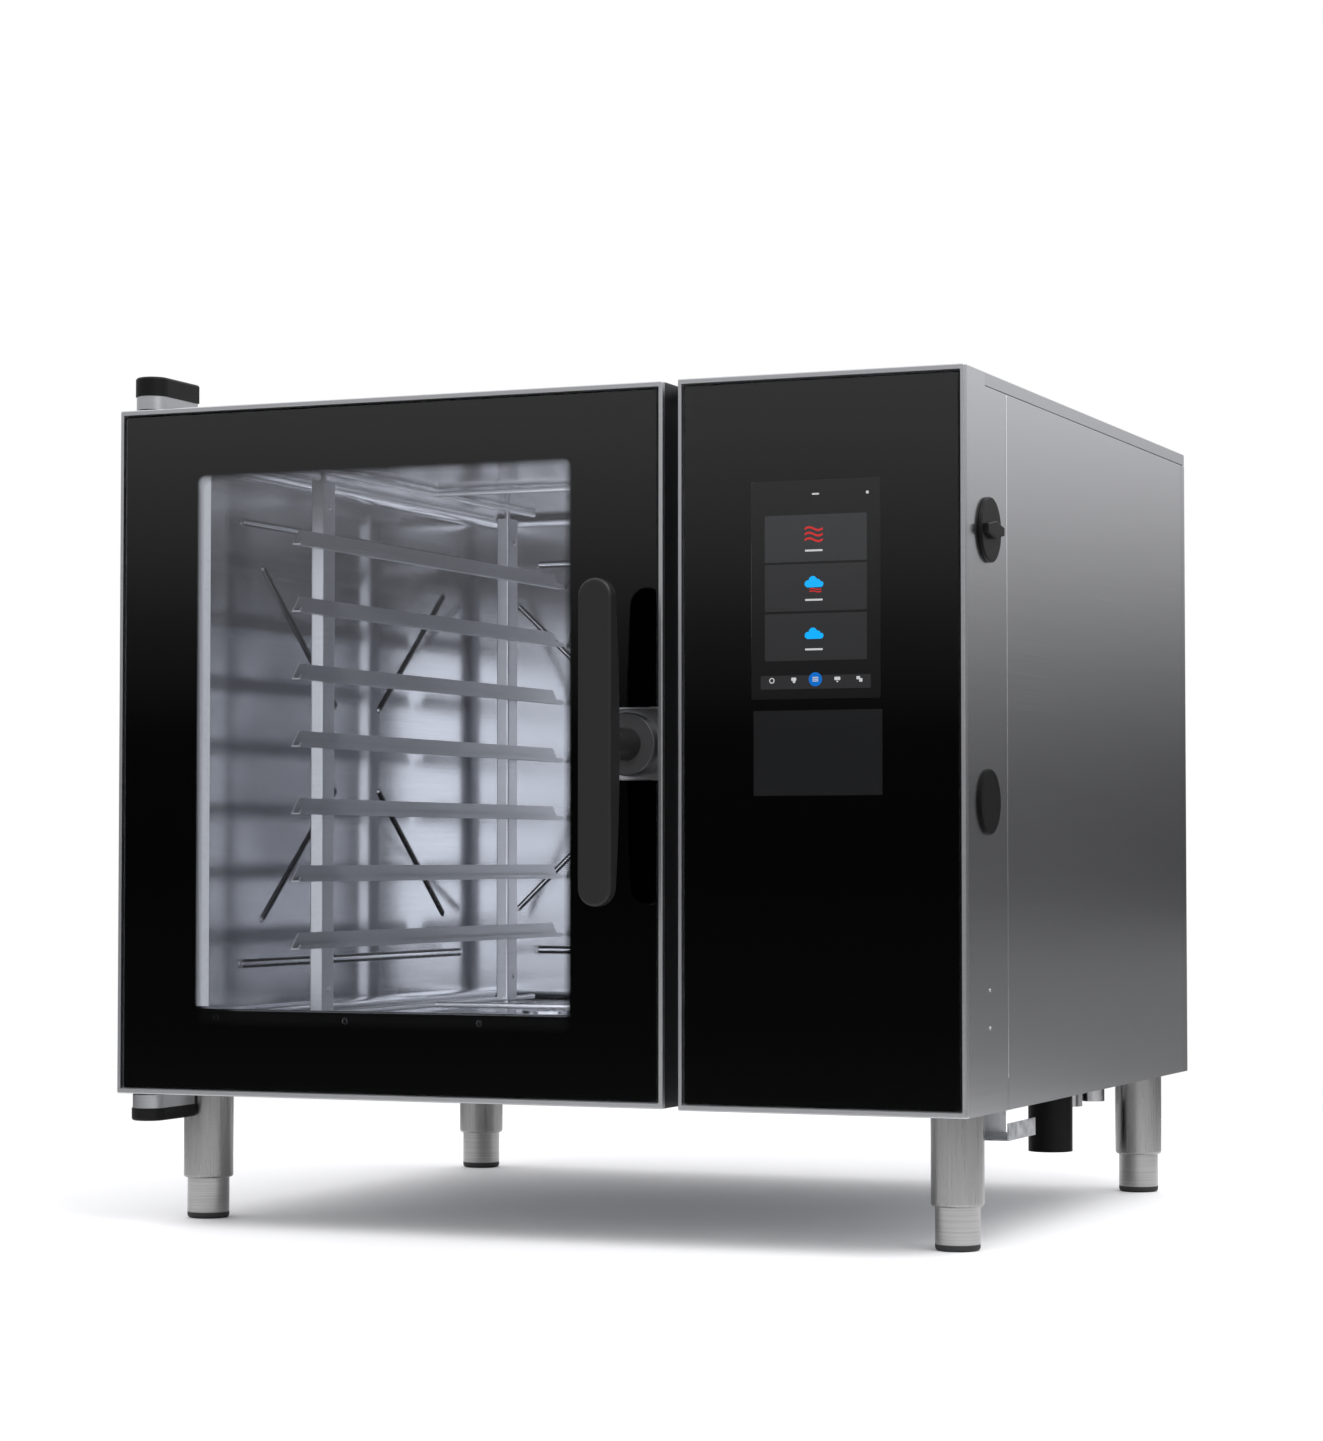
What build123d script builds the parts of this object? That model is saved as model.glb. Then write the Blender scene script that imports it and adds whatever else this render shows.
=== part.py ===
from build123d import *
import os
from math import atan2, cos, degrees, radians, sin

# Counter-top combi steamer with a glass door hinged on its left and a control column on
# its right. Millimetres. X runs to the right, Y to the back and Z up. While it is modelled,
# X = 0 is the door's left edge, Y = 0 the front plane of door and column, and Z = 0 the
# floor. export_parts() then moves the origin to the middle of the overall footprint.

# ------------------------------------------------------------------ driving dimensions
WIDTH = 917.5
DEPTH = 825.0
TOP = 843.0
UNDERSIDE = 134.5
DOOR_WIDTH = 610.0
DOOR_GAP = 16.0
SHEET = 1.5
RIM = 5.0
SIDE_RIM = 4.0
HINGE_X = 28.0
HINGE_Y = 18.0
HANDLE_X = 568.0
HANDLE_Z = 489.0
HANDLE_REACH = 70.0
KNOB_Y = 72.0
KNOB_Z = 691.7
KNOB_REACH = 9.0
RUNNER_LEVELS = 7
RUNNER_PITCH = 70.3
TRAY_WIDTH = 325.0

# ------------------------------------------------------------------ places derived from them
COLUMN_LEFT = DOOR_WIDTH + DOOR_GAP
COLUMN_DEPTH = 131.0
CABINET_FRONT = 72.0
COVER_FRONT = 64.0
SKIRT = 13.0
SEAM = 0.8
DOOR_BOTTOM = UNDERSIDE + 1
DOOR_TOP = TOP - 1
DOOR_BACK = 50.0
LINER_BACK = 60.0
GLASS_FRONT = 1.2
GLASS = 4.0
BEVEL = 2.2
RIM_DEPTH = 8.0

# cavity, inside faces
CAVITY_LEFT = 56.0
CAVITY_RIGHT = 612.0
CAVITY_BACK = 770.0
CAVITY_FLOOR = 207.0
CAVITY_CEILING = 796.0
CAVITY_FRONT = CABINET_FRONT + 3
COVE = 13.0
BEAD_CENTRE_Y = 424.5
BEAD_CENTRE_Z = 501.5

# opening in the front frame, and the glazed opening in the door's inner side
MOUTH = (60.0, 534.0, 212.0, 792.0)
GLAZED = (68.0, 526.0, 222.0, 784.0)
GASKET = 12.0

# racks
RACK_CENTRE = 319.5
RUNNER_WEB = TRAY_WIDTH / 2 + 2
FIRST_RUNNER = 283.0
RUNNER_HEIGHT = 17.0
RUNNER_FRONT = 87.0
RUNNER_BACK = 757.0
POST_WIDE = 15.0
POST_DEEP = 27.0
POST_FRONT_Y = 156.0
POST_REAR_Y = 617.0
POST_BOTTOM = 212.0
POST_TOP = 779.0
ROD_R = 3.0
ROD_LEVELS = (CAVITY_FLOOR + 5.5, POST_TOP + 12)
CROSS_ROD_Y = 440.0

# fan behind the air baffle
FAN_Y = 430.0
FAN_Z = 500.0
FAN_R = 170.0
BAFFLE_X = 520.0
SHAFT_R = 9.0
HEATER_R = 4.2
HEATER_BEND = 9.0
HEATER_LOOPS = ((186, 548), (198, 564), (210, 580))
DRAIN_X = 300.0
DRAIN_Z = 178.0

# control column and door fittings; flat areas are (x0, x1, z0, z1)
SCREEN = (703.3, 833.8, 530.0, 741.0)
CAP_Y = 69.5
CAP_Z = 431.4
RAIL = (68.0, 556.0, 203.0, 221.5)
RAIL_SCREWS = (91.0, 242.0, 393.0, 544.0)
RECESS_R = 35.5
RECESS_DEPTH = 18.0
SPINDLE_R = 7.5
GRIP_LENGTH = 315.0
GRIP_WIDTH = 35.0
PIN_R = 6.0
BRACKET = 14.0
BRACKET_BACK = 82.0
SCREW_STANDOFF = 2.2

# feet and under-floor fittings
LEG_INSET = 45.0
LEG_YS = (111.0, 776.0)
SLEEVE_R = 26.0
STEM_R = 22.0
SLEEVE_BOTTOM = 42.4
PAD_HEIGHT = 6.4
RUNNING = 0.08
DRAIN_AT = (786.0, 718.0)
INLETS = ((789.0, 790.0, 93.0), (828.5, 743.0, 103.0))
GLAND_AT = (640.0, 780.0)
VENT_AT = (760.0, 760.0)
AIR_INLET_AT = (760.0, 260.0)
AIR_INLET_R = 56.0


# ------------------------------------------------------------------ helpers
def block(x0, x1, y0, y1, z0, z1):
    centre = ((x0 + x1) / 2, (y0 + y1) / 2, (z0 + z1) / 2)
    return Pos(*centre) * Box(x1 - x0, y1 - y0, z1 - z0)


def rod(start, end, radius):
    run = Vector(*end) - Vector(*start)
    along = Plane(origin=start, z_dir=run)
    return along * Cylinder(radius, run.length, align=(Align.CENTER, Align.CENTER, Align.MIN))


def tube(start, end, outer, inner):
    return rod(start, end, outer) - rod(start, end, inner)


def front_plate(x0, x1, z0, z1, y0, y1, corner):
    """A plate facing the front, with rounded corners."""
    face = Plane(origin=((x0 + x1) / 2, y0, (z0 + z1) / 2), x_dir=(1, 0, 0), z_dir=(0, 1, 0))
    return extrude(face * RectangleRounded(x1 - x0, z1 - z0, corner), y1 - y0)


def front_ring(outer, inner, y0, y1, corner, inner_corner):
    """A frame facing the front; outer and inner are (x0, x1, z0, z1)."""
    return front_plate(*outer, y0, y1, corner) - front_plate(*inner, y0 - 1, y1 + 1, inner_corner)


def distance(a, b):
    return ((a[0] - b[0]) ** 2 + (a[1] - b[1]) ** 2) ** 0.5


def bead(centre_a, centre_b, radius, plane_origin, x_dir, z_dir, rise):
    """A pressed stiffening bead: a slot that stands off a wall, rounded on its edge."""
    wall = Plane(origin=plane_origin, x_dir=x_dir, z_dir=z_dir)
    slot = SlotCenterToCenter(distance(centre_a, centre_b), 2 * radius)
    middle = ((centre_a[0] + centre_b[0]) / 2, (centre_a[1] + centre_b[1]) / 2)
    turn = degrees(atan2(centre_b[1] - centre_a[1], centre_b[0] - centre_a[0]))
    solid = extrude(wall * Pos(*middle) * Rot(0, 0, turn) * slot, rise)
    return fillet(solid.faces().sort_by(Axis(plane_origin, z_dir))[-1].edges(), rise * 0.8)


# ------------------------------------------------------------------ casing
def base_pan():
    left_bay = block(SHEET, COLUMN_LEFT, CABINET_FRONT, DEPTH - SHEET, UNDERSIDE, UNDERSIDE + SHEET)
    right_bay = block(COLUMN_LEFT, WIDTH - SHEET, COLUMN_DEPTH, DEPTH - SHEET, UNDERSIDE, UNDERSIDE + SHEET)
    pan = left_bay + right_bay
    pan -= hole_down(DRAIN_AT, 24.2)
    pan -= hole_down(GLAND_AT, 12.2)
    for x, y, _ in INLETS:
        pan -= hole_down((x, y), 13.4)
    for ring in (18, 30, 42, 54):
        for spoke in range(4):
            pan -= air_slot(ring, 90 * spoke + 45)
    rail = block(880, 912, 150, 240, 103, 104.5) + block(880, 881.5, 150, 240, 104.5, UNDERSIDE)
    rail += block(910.5, 912, 150, 240, 104.5, 120)
    return pan + rail


def hole_down(place, radius):
    return rod((*place, UNDERSIDE - 5), (*place, UNDERSIDE + 10), radius)


def air_slot(ring, turn):
    """One curved slot of the round air inlet under the electronics."""
    band = Circle(ring + 4) - Circle(ring - 4)
    quarter = Polygon((0, 0), (90, -62), (90, 62), align=None)
    slot = Rot(0, 0, turn) * (band & quarter)
    return extrude(Pos(*AIR_INLET_AT, UNDERSIDE - 5) * slot, 15)


def side_panel(x0, front, back):
    return block(x0, x0 + SHEET, front, back, UNDERSIDE, TOP - SKIRT - SEAM)


def left_side_panel():
    return side_panel(0, CABINET_FRONT, DEPTH - 15)


def right_side_panel():
    return side_panel(WIDTH - SHEET, COLUMN_DEPTH + SEAM, DEPTH - 15)


def rear_panel():
    z0, z1 = UNDERSIDE, TOP - SKIRT - SEAM
    shell = block(0, WIDTH, DEPTH - 15 + SEAM, DEPTH, z0, z1)
    shell -= block(SHEET, WIDTH - SHEET, DEPTH - 20, DEPTH - SHEET, z0 - 1, z1 + 1)
    for column in range(2):
        for row in range(9):
            x = WIDTH - 150 + 60 * column
            z = 640 + 14 * row
            slot = Plane(origin=(x, DEPTH - 5, z), x_dir=(1, 0, 0), z_dir=(0, 1, 0)) * SlotOverall(46, 5)
            shell -= extrude(slot, 10)
    return shell


def top_cover():
    cover = block(0, WIDTH, COVER_FRONT, DEPTH, TOP - SKIRT, TOP)
    cover = fillet(cover.edges().filter_by(Axis.X).sort_by(Axis.Y)[-2:].sort_by(Axis.Z)[-1], 2)
    cover = fillet(cover.edges().filter_by(Axis.Y).sort_by(Axis.Z)[-2:], 1.2)
    hollow = block(SHEET, WIDTH - SHEET, COVER_FRONT - 1, DEPTH - SHEET, TOP - SKIRT - 1, TOP - SHEET)
    vent_hole = rod((*VENT_AT, TOP - 5), (*VENT_AT, TOP + 5), 23)
    return cover - hollow - vent_hole


def front_frame():
    z0, z1 = UNDERSIDE + SHEET, TOP - SKIRT - SEAM
    plate = front_plate(SHEET, COLUMN_LEFT, z0, z1, CABINET_FRONT, CAVITY_FRONT, 1)
    return plate - front_plate(*MOUTH, CABINET_FRONT - 1, CAVITY_FRONT + 1, 10)


# ------------------------------------------------------------------ cavity
def cove_strip(x, z, to_x, to_z, y0, y1):
    """Concave filler strip that rounds the corner at (x, z) between a wall and a floor."""
    corner = block(min(x, to_x), max(x, to_x), y0, y1, min(z, to_z), max(z, to_z))
    return corner - rod((to_x, y0 - 1, to_z), (to_x, y1 + 1, to_z), COVE)


def cavity_left_wall():
    x = CAVITY_LEFT
    wall = block(x - SHEET, x, CAVITY_FRONT, CAVITY_BACK + SHEET, CAVITY_FLOOR, CAVITY_CEILING)
    for z, to_z in ((CAVITY_FLOOR, CAVITY_FLOOR + COVE), (CAVITY_CEILING, CAVITY_CEILING - COVE)):
        wall += cove_strip(x, z, x + COVE, to_z, CAVITY_FRONT, CAVITY_BACK)
    origin = (x, BEAD_CENTRE_Y, BEAD_CENTRE_Z)
    for side in (-1, 1):
        for level in (-1, 1):
            outer, inner = (221 * side, 190 * level), (53 * side, 47 * level)
            wall += bead(outer, inner, 3.2, origin, (0, 1, 0), (1, 0, 0), 2)
        wall += bead((-268, 236.5 * side), (268, 236.5 * side), 4.8, origin, (0, 1, 0), (1, 0, 0), 2)
    return wall


def cavity_back_wall():
    y = CAVITY_BACK
    x0, x1 = CAVITY_LEFT, CAVITY_RIGHT
    wall = block(x0, x1, y, y + SHEET, CAVITY_FLOOR, CAVITY_CEILING)
    origin = ((x0 + x1) / 2, y, BEAD_CENTRE_Z)
    for side in (-1, 1):
        for level in (-1, 1):
            outer, inner = (236 * side, 185 * level), (80 * side, 40 * level)
            wall += bead(outer, inner, 3.2, origin, (1, 0, 0), (0, -1, 0), 2)
        wall += bead((-210, 235 * side), (210, 235 * side), 4.8, origin, (1, 0, 0), (0, -1, 0), 2)
    for z, to_z in ((CAVITY_FLOOR, CAVITY_FLOOR + COVE), (CAVITY_CEILING, CAVITY_CEILING - COVE)):
        strip = block(x0 + COVE, x1, y - COVE, y, min(z, to_z), max(z, to_z))
        wall += strip - rod((x0, y - COVE, to_z), (x1 + 1, y - COVE, to_z), COVE)
    return wall


def cavity_floor():
    z = CAVITY_FLOOR
    plate = block(CAVITY_LEFT - SHEET, CAVITY_RIGHT, CAVITY_FRONT, CAVITY_BACK + SHEET, z - SHEET, z)
    return plate - rod((DRAIN_X, FAN_Y, z - 5), (DRAIN_X, FAN_Y, z + 5), 30)


def cavity_ceiling():
    z = CAVITY_CEILING
    return block(CAVITY_LEFT - SHEET, CAVITY_RIGHT, CAVITY_FRONT, CAVITY_BACK + SHEET, z, z + SHEET)


def cavity_right_wall():
    x = CAVITY_RIGHT
    z0, z1 = CAVITY_FLOOR - SHEET, CAVITY_CEILING + SHEET
    wall = block(x, x + SHEET, CAVITY_FRONT, CAVITY_BACK + SHEET, z0, z1)
    wall -= rod((x - 5, FAN_Y, FAN_Z), (x + 5, FAN_Y, FAN_Z), SHAFT_R + 3)
    for radius, _ in HEATER_LOOPS:
        for side in (-1, 1):
            end = heater_terminal(radius, side)
            wall -= rod((x - 5, *end), (x + 5, *end), HEATER_R + RUNNING)
    wall -= rod((x - 5, FAN_Y + 60, FAN_Z + 240), (x + 5, FAN_Y + 60, FAN_Z + 240), 4.3)
    return wall


def air_baffle():
    y0, y1, z0, z1 = 92.0, 760.0, 225.0, 783.0
    plate = block(BAFFLE_X, BAFFLE_X + SHEET, y0, y1, z0, z1)
    plate = fillet(plate.edges().filter_by(Axis.X), 12)
    face = Plane(origin=(BAFFLE_X - 5, FAN_Y, FAN_Z), x_dir=(0, 1, 0), z_dir=(1, 0, 0))
    for ring in range(5):
        radius = 30 + 24 * ring
        band = Circle(radius + 8) - Circle(radius - 8)
        for spoke in range(6):
            sector = Polygon((0, 0), (200, -95), (200, 95), align=None)
            slot = Rot(0, 0, 60 * spoke + 30 * (ring % 2)) * (band & sector)
            plate -= extrude(face * slot, 10)
    for y in (y0 + 20, y1 - 20):
        for z in (z0 + 30, z1 - 30):
            plate += rod((BAFFLE_X + SHEET, y, z), (CAVITY_RIGHT, y, z), 5)
    return plate


def drain_strainer():
    z = CAVITY_FLOOR
    place = (DRAIN_X, FAN_Y)
    cup = rod((*place, z), (*place, z + 2), 36) + tube((*place, z - 14), (*place, z), 29.5, 27)
    for ring, count in ((0, 1), (10, 6), (20, 12)):
        for step in range(count):
            turn = radians(360 * step / count)
            x = place[0] + ring * cos(turn)
            y = place[1] + ring * sin(turn)
            cup -= rod((x, y, z - 1), (x, y, z + 5), 3)
    return cup


def door_gasket():
    x0, x1, z0, z1 = MOUTH
    inner = (x0 - 2, x1 + 2, z0 - 2, z1 + 2)
    outer = (x0 - 2 - GASKET, x1 + 2 + GASKET, z0 - 2 - GASKET, z1 + 2 + GASKET)
    seal = front_ring(outer, inner, LINER_BACK + 0.4, CABINET_FRONT, 22, 11)
    return fillet(seal.faces().sort_by(Axis.Y)[0].edges(), 4)


def insulation():
    outer_x, near_y, far_y = SHEET + 1, CAVITY_FRONT + 1, DEPTH - 20
    gap = SHEET + 0.5
    floor_under, ceiling_over = CAVITY_FLOOR - gap, CAVITY_CEILING + gap
    left = block(outer_x, CAVITY_LEFT - gap, near_y, CAVITY_BACK, CAVITY_FLOOR, CAVITY_CEILING)
    top = block(outer_x, CAVITY_RIGHT, near_y, far_y, ceiling_over, TOP - SKIRT - 5)
    bottom = block(outer_x, CAVITY_RIGHT, near_y, far_y, UNDERSIDE + 15, floor_under)
    bottom -= rod((DRAIN_X, FAN_Y, UNDERSIDE), (DRAIN_X, FAN_Y, CAVITY_FLOOR), 40)
    bottom -= block(DRAIN_X, CAVITY_RIGHT + 10, FAN_Y - 26, FAN_Y + 26, UNDERSIDE, CAVITY_FLOOR)
    back = block(outer_x, CAVITY_RIGHT, CAVITY_BACK + gap, far_y, CAVITY_FLOOR, CAVITY_CEILING)
    return Compound(children=[left, top, bottom, back])


# ------------------------------------------------------------------ racks
def rack_frames():
    """Left and right racks without their runners, two posts and two rods each, and two rods across."""
    frames = []
    for side in (-1, 1):
        near = RACK_CENTRE + side * RUNNER_WEB
        x0, x1 = sorted((near, near + side * POST_WIDE))
        middle = (x0 + x1) / 2
        frame = None
        for y in (POST_FRONT_Y, POST_REAR_Y):
            post = block(x0, x1, y, y + POST_DEEP, POST_BOTTOM, POST_TOP)
            post = fillet(post.edges().filter_by(Axis.Z), 2)
            centre_y = y + POST_DEEP / 2
            post += rod((middle, centre_y, POST_TOP), (middle, centre_y, POST_TOP + 12), ROD_R)
            post += rod((middle, centre_y, CAVITY_FLOOR), (middle, centre_y, POST_BOTTOM), 5)
            frame = post if frame is None else frame + post
        for z in ROD_LEVELS:
            frame += rod((middle, POST_FRONT_Y - 40, z), (middle, POST_REAR_Y + POST_DEEP + 60, z), ROD_R)
        frames.append(frame)
    half = RUNNER_WEB + POST_WIDE / 2 - ROD_R
    for z in ROD_LEVELS:
        frames.append(rod((RACK_CENTRE - half, CROSS_ROD_Y, z), (RACK_CENTRE + half, CROSS_ROD_Y, z), ROD_R))
    return Compound(children=frames)


def rack_runners():
    """Seven tray runners a side: each a web against the posts and a ledge with an upturned lip."""
    runners = []
    for side in (-1, 1):
        for level in range(RUNNER_LEVELS):
            z = FIRST_RUNNER + RUNNER_PITCH * level
            runners.append(runner(side, z))
    return Compound(children=runners)


def runner(side, z):
    web = RACK_CENTRE + side * RUNNER_WEB
    h = RUNNER_HEIGHT

    def strip(a, b, z0, z1):
        x0, x1 = sorted((web - side * a, web - side * b))
        return block(x0, x1, RUNNER_FRONT, RUNNER_BACK, z0, z1)

    bar = strip(0, 1.5, z, z + h) + strip(1.5, 10, z, z + 1.5) + strip(8.5, 10, z + 1.5, z + 5)
    for y, direction in ((RUNNER_FRONT, 1), (RUNNER_BACK, -1)):
        corner = Plane(origin=(web, y, z + h + 1), x_dir=(0, 1, 0), z_dir=(1, 0, 0))
        slope = Polygon((-1 * direction, 1), (17 * direction, 1), (-1 * direction, -h - 1), align=None)
        bar -= extrude(corner * slope, 30, both=True)
    return bar


# ------------------------------------------------------------------ fan, heater and steam
def heater_turn(radius):
    """Half of the gap in a heater loop, in degrees; wider on the outer loops so their ends stay apart."""
    return 6 + (radius - 186) / 3


def heater_terminal(radius, side):
    """Where a loop's end passes through the cavity wall."""
    turn = radians(-90 + side * heater_turn(radius))
    y = FAN_Y + radius * cos(turn) + side * HEATER_BEND * sin(turn)
    return (y, FAN_Z + radius * sin(turn) - side * HEATER_BEND * cos(turn))


def heater_bend(end, along):
    """Quarter bend that turns the end of a loop back towards the wall."""
    back = Vector(1, 0, 0)
    centre = end + back * HEATER_BEND
    middle = centre - (along + back).normalized() * HEATER_BEND
    return ThreePointArc(centre - along * HEATER_BEND, middle, end)


def heater_loop(radius, x):
    face = Plane(origin=(x, FAN_Y, FAN_Z), x_dir=(0, 1, 0), z_dir=(1, 0, 0))
    turn = heater_turn(radius)
    ring = face * CenterArc((0, 0), radius, -90 + turn, 360 - 2 * turn)
    bends = (heater_bend(ring @ 0, ring % 0), heater_bend(ring @ 1, -(ring % 1)))
    far = CAVITY_RIGHT + 25
    tails = [Line(bend @ 0, (far, *heater_terminal(radius, side))) for bend, side in zip(bends, (1, -1))]
    pieces = (tails[0], bends[0], ring, bends[1], tails[1])
    path = Wire([edge for piece in pieces for edge in piece.edges()])
    return sweep(Plane(origin=tails[0] @ 1, z_dir=(-1, 0, 0)) * Circle(HEATER_R), path=path)


def heating_element():
    return Compound(children=[heater_loop(radius, x) for radius, x in HEATER_LOOPS])


def steam_injector():
    """Water tube that sprays onto the fan hub from in front of the wheel."""
    x, y, z = 533, FAN_Y + 60, FAN_Z + 240
    path = FilletPolyline((CAVITY_RIGHT + 30, y, z), (x, y, z), (x, FAN_Y, FAN_Z + 12), radius=20)
    return sweep(Plane(origin=path @ 0, z_dir=path % 0) * Circle(4), path=path)


def fan_wheel():
    x0, x1 = 545.0, 603.0
    wheel = rod((x1 - 2, FAN_Y, FAN_Z), (x1, FAN_Y, FAN_Z), FAN_R)
    wheel += tube((x0, FAN_Y, FAN_Z), (x0 + 2, FAN_Y, FAN_Z), FAN_R, FAN_R - 34)
    wheel += rod((x0 + 15, FAN_Y, FAN_Z), (x1 - 2, FAN_Y, FAN_Z), 26)
    blade = block(x0 + 2, x1 - 2, -1, 1, FAN_R - 32, FAN_R - 2)
    for step in range(24):
        wheel += Pos(0, FAN_Y, FAN_Z) * Rot(15 * step, 0, 0) * blade
    return wheel - rod((x0 - 1, FAN_Y, FAN_Z), (x1 + 1, FAN_Y, FAN_Z), SHAFT_R)


def fan_shaft():
    shaft = rod((552, FAN_Y, FAN_Z), (700, FAN_Y, FAN_Z), SHAFT_R)
    return shaft + rod((548, FAN_Y, FAN_Z), (560, FAN_Y, FAN_Z), 6)


def fan_motor():
    """Motor with its mounting plate and four spacers that stand on the cavity wall."""
    face = CAVITY_RIGHT + SHEET
    motor = rod((face + 22, FAN_Y, FAN_Z), (face + 165, FAN_Y, FAN_Z), 62)
    for fin in range(16):
        blade = block(face + 30, face + 155, -1.5, 1.5, 60, 74)
        motor += Pos(0, FAN_Y, FAN_Z) * Rot(22.5 * fin, 0, 0) * blade
    motor += rod((face + 165, FAN_Y, FAN_Z), (face + 178, FAN_Y, FAN_Z), 56)
    motor += block(face + 17, face + 22, FAN_Y - 100, FAN_Y + 100, FAN_Z - 100, FAN_Z + 100)
    for dy in (-85, 85):
        for dz in (-85, 85):
            motor += rod((face, FAN_Y + dy, FAN_Z + dz), (face + 17, FAN_Y + dy, FAN_Z + dz), 7)
    return motor - rod((face + 10, FAN_Y, FAN_Z), (700.5, FAN_Y, FAN_Z), SHAFT_R + RUNNING)


# ------------------------------------------------------------------ drain, water, power, vent
def drain_box():
    """Welded quench box with its pipe from the cavity drain."""
    x, y = DRAIN_AT
    box = block(x - 70, x + 70, y - 55, y + 55, 160, 300)
    box = fillet(box.edges().filter_by(Axis.Z), 8)
    box -= block(x - 68, x + 68, y - 53, y + 53, 162, 298)
    box -= rod((x, y, 155), (x, y, 165), 22)
    sump, elbow, mouth = (DRAIN_X, FAN_Y, DRAIN_Z), (x, FAN_Y, DRAIN_Z), (x, y - 53, DRAIN_Z)
    outer, inner = 20, 17
    pipe = rod(sump, elbow, outer) + rod(elbow, mouth, outer) + Pos(*elbow) * Sphere(outer)
    pipe += rod((DRAIN_X, FAN_Y, DRAIN_Z - 12), (DRAIN_X, FAN_Y, CAVITY_FLOOR - SHEET), 32)
    bore = rod(sump, elbow, inner) + rod(elbow, (x, y - 50, DRAIN_Z), inner) + Pos(*elbow) * Sphere(inner)
    bore += rod((DRAIN_X, FAN_Y, DRAIN_Z - 10), (DRAIN_X, FAN_Y, CAVITY_FLOOR), 29.8)
    return box + pipe - bore


def drain_pipe():
    x, y = DRAIN_AT
    low, collar = 47, UNDERSIDE - 4.5
    pipe = rod((x, y, low), (x, y, collar), 25) + rod((x, y, collar), (x, y, UNDERSIDE), 28)
    pipe += rod((x, y, UNDERSIDE), (x, y, 160), 24)
    return pipe - rod((x, y, low - 1), (x, y, 161), 22)


def water_inlets():
    stubs = []
    for x, y, low in INLETS:
        stub = tube((x, y, low), (x, y, UNDERSIDE + 12), 13.2, 9)
        collar = Pos(x, y, UNDERSIDE - 8) * extrude(RegularPolygon(17, 6), 8)
        stub += collar - rod((x, y, 100), (x, y, 150), 9)
        stubs.append(stub)
    return Compound(children=stubs)


def cable_gland():
    x, y = GLAND_AT
    gland = rod((x, y, UNDERSIDE - 28), (x, y, UNDERSIDE + 10), 12)
    gland += Pos(x, y, UNDERSIDE - 10) * extrude(RegularPolygon(18, 6), 10)
    gland += Pos(x, y, UNDERSIDE - 30) * extrude(RegularPolygon(17, 6), 16)
    gland = chamfer(gland.faces().sort_by(Axis.Z)[0].edges(), 3)
    return gland - rod((x, y, UNDERSIDE - 40), (x, y, UNDERSIDE + 20), 8)


def steam_vent():
    x, y = VENT_AT
    vent = rod((x, y, TOP), (x, y, TOP + 2), 38) + rod((x, y, TOP - 20), (x, y, TOP + 30), 22.5)
    vent = vent - rod((x, y, TOP - 25), (x, y, TOP + 35), 21)
    for turn in range(4):
        angle = radians(45 + 90 * turn)
        px, py = x + 31 * cos(angle), y + 31 * sin(angle)
        vent += rod((px, py, TOP + 2), (px, py, TOP + 4), 4)
    return vent


# ------------------------------------------------------------------ control column
def control_housing():
    x0, x1 = COLUMN_LEFT, WIDTH
    shell = block(x0, x1, RIM_DEPTH, COLUMN_DEPTH, UNDERSIDE, TOP)
    shell = fillet(shell.edges().filter_by(Axis.Y).sort_by(Axis.Z)[-1:], 1)
    shell -= block(x0 + SHEET, x1 - SHEET, 0, COLUMN_DEPTH + 5, UNDERSIDE + SHEET, TOP - SHEET)
    shell -= block(x0 - 5, x1 + 5, COVER_FRONT, COLUMN_DEPTH + 5, TOP - SKIRT - SEAM, TOP + 5)
    shell -= block(x0 - 5, x0 + 5, CABINET_FRONT, CAVITY_FRONT, UNDERSIDE, TOP)
    shell -= rod((x1 - 5, KNOB_Y, KNOB_Z), (x1 + 5, KNOB_Y, KNOB_Z), 6 + RUNNING)
    shell -= rod((x1 - 5, CAP_Y, CAP_Z), (x1 + 5, CAP_Y, CAP_Z), 20)
    return shell


def bezel(x0, x1, z0, z1):
    """Rolled frame round a sheet of glass, with a ledge behind the glass."""
    rim = front_plate(x0, x1, z0, z1, 0, RIM_DEPTH, 1.5)
    rim = fillet(rim.faces().sort_by(Axis.Y)[0].edges(), 1.2)
    sight = (x0 + SIDE_RIM, x1 - SIDE_RIM, z0 + RIM, z1 - RIM)
    rim -= front_plate(*sight, -1, GLASS_FRONT + GLASS, 1)
    ledge = (x0 + SIDE_RIM + 10, x1 - SIDE_RIM - 10, z0 + RIM + 10, z1 - RIM - 10)
    return rim - front_plate(*ledge, 0, RIM_DEPTH + 1, 1)


def pane(x0, x1, z0, z1):
    """Glass for a bezel of that outer size, with a bevelled front edge."""
    side, inset = SIDE_RIM + 0.6, RIM + 0.6
    sheet = front_plate(x0 + side, x1 - side, z0 + inset, z1 - inset, GLASS_FRONT, GLASS_FRONT + GLASS, 2.6)
    return chamfer(sheet.faces().sort_by(Axis.Y)[0].edges(), BEVEL)


def control_bezel():
    return bezel(COLUMN_LEFT, WIDTH, UNDERSIDE, TOP)


def control_glass():
    return pane(COLUMN_LEFT, WIDTH, UNDERSIDE, TOP)


def touch_display():
    x0, x1, z0, z1 = SCREEN
    back = GLASS_FRONT + GLASS
    module = front_plate(x0, x1, z0, z1, back, back + 6, 2)
    return module + front_plate(x0 + 20, x1 - 20, z0 + 30, z1 - 30, back + 6, back + 9, 2)


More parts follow.
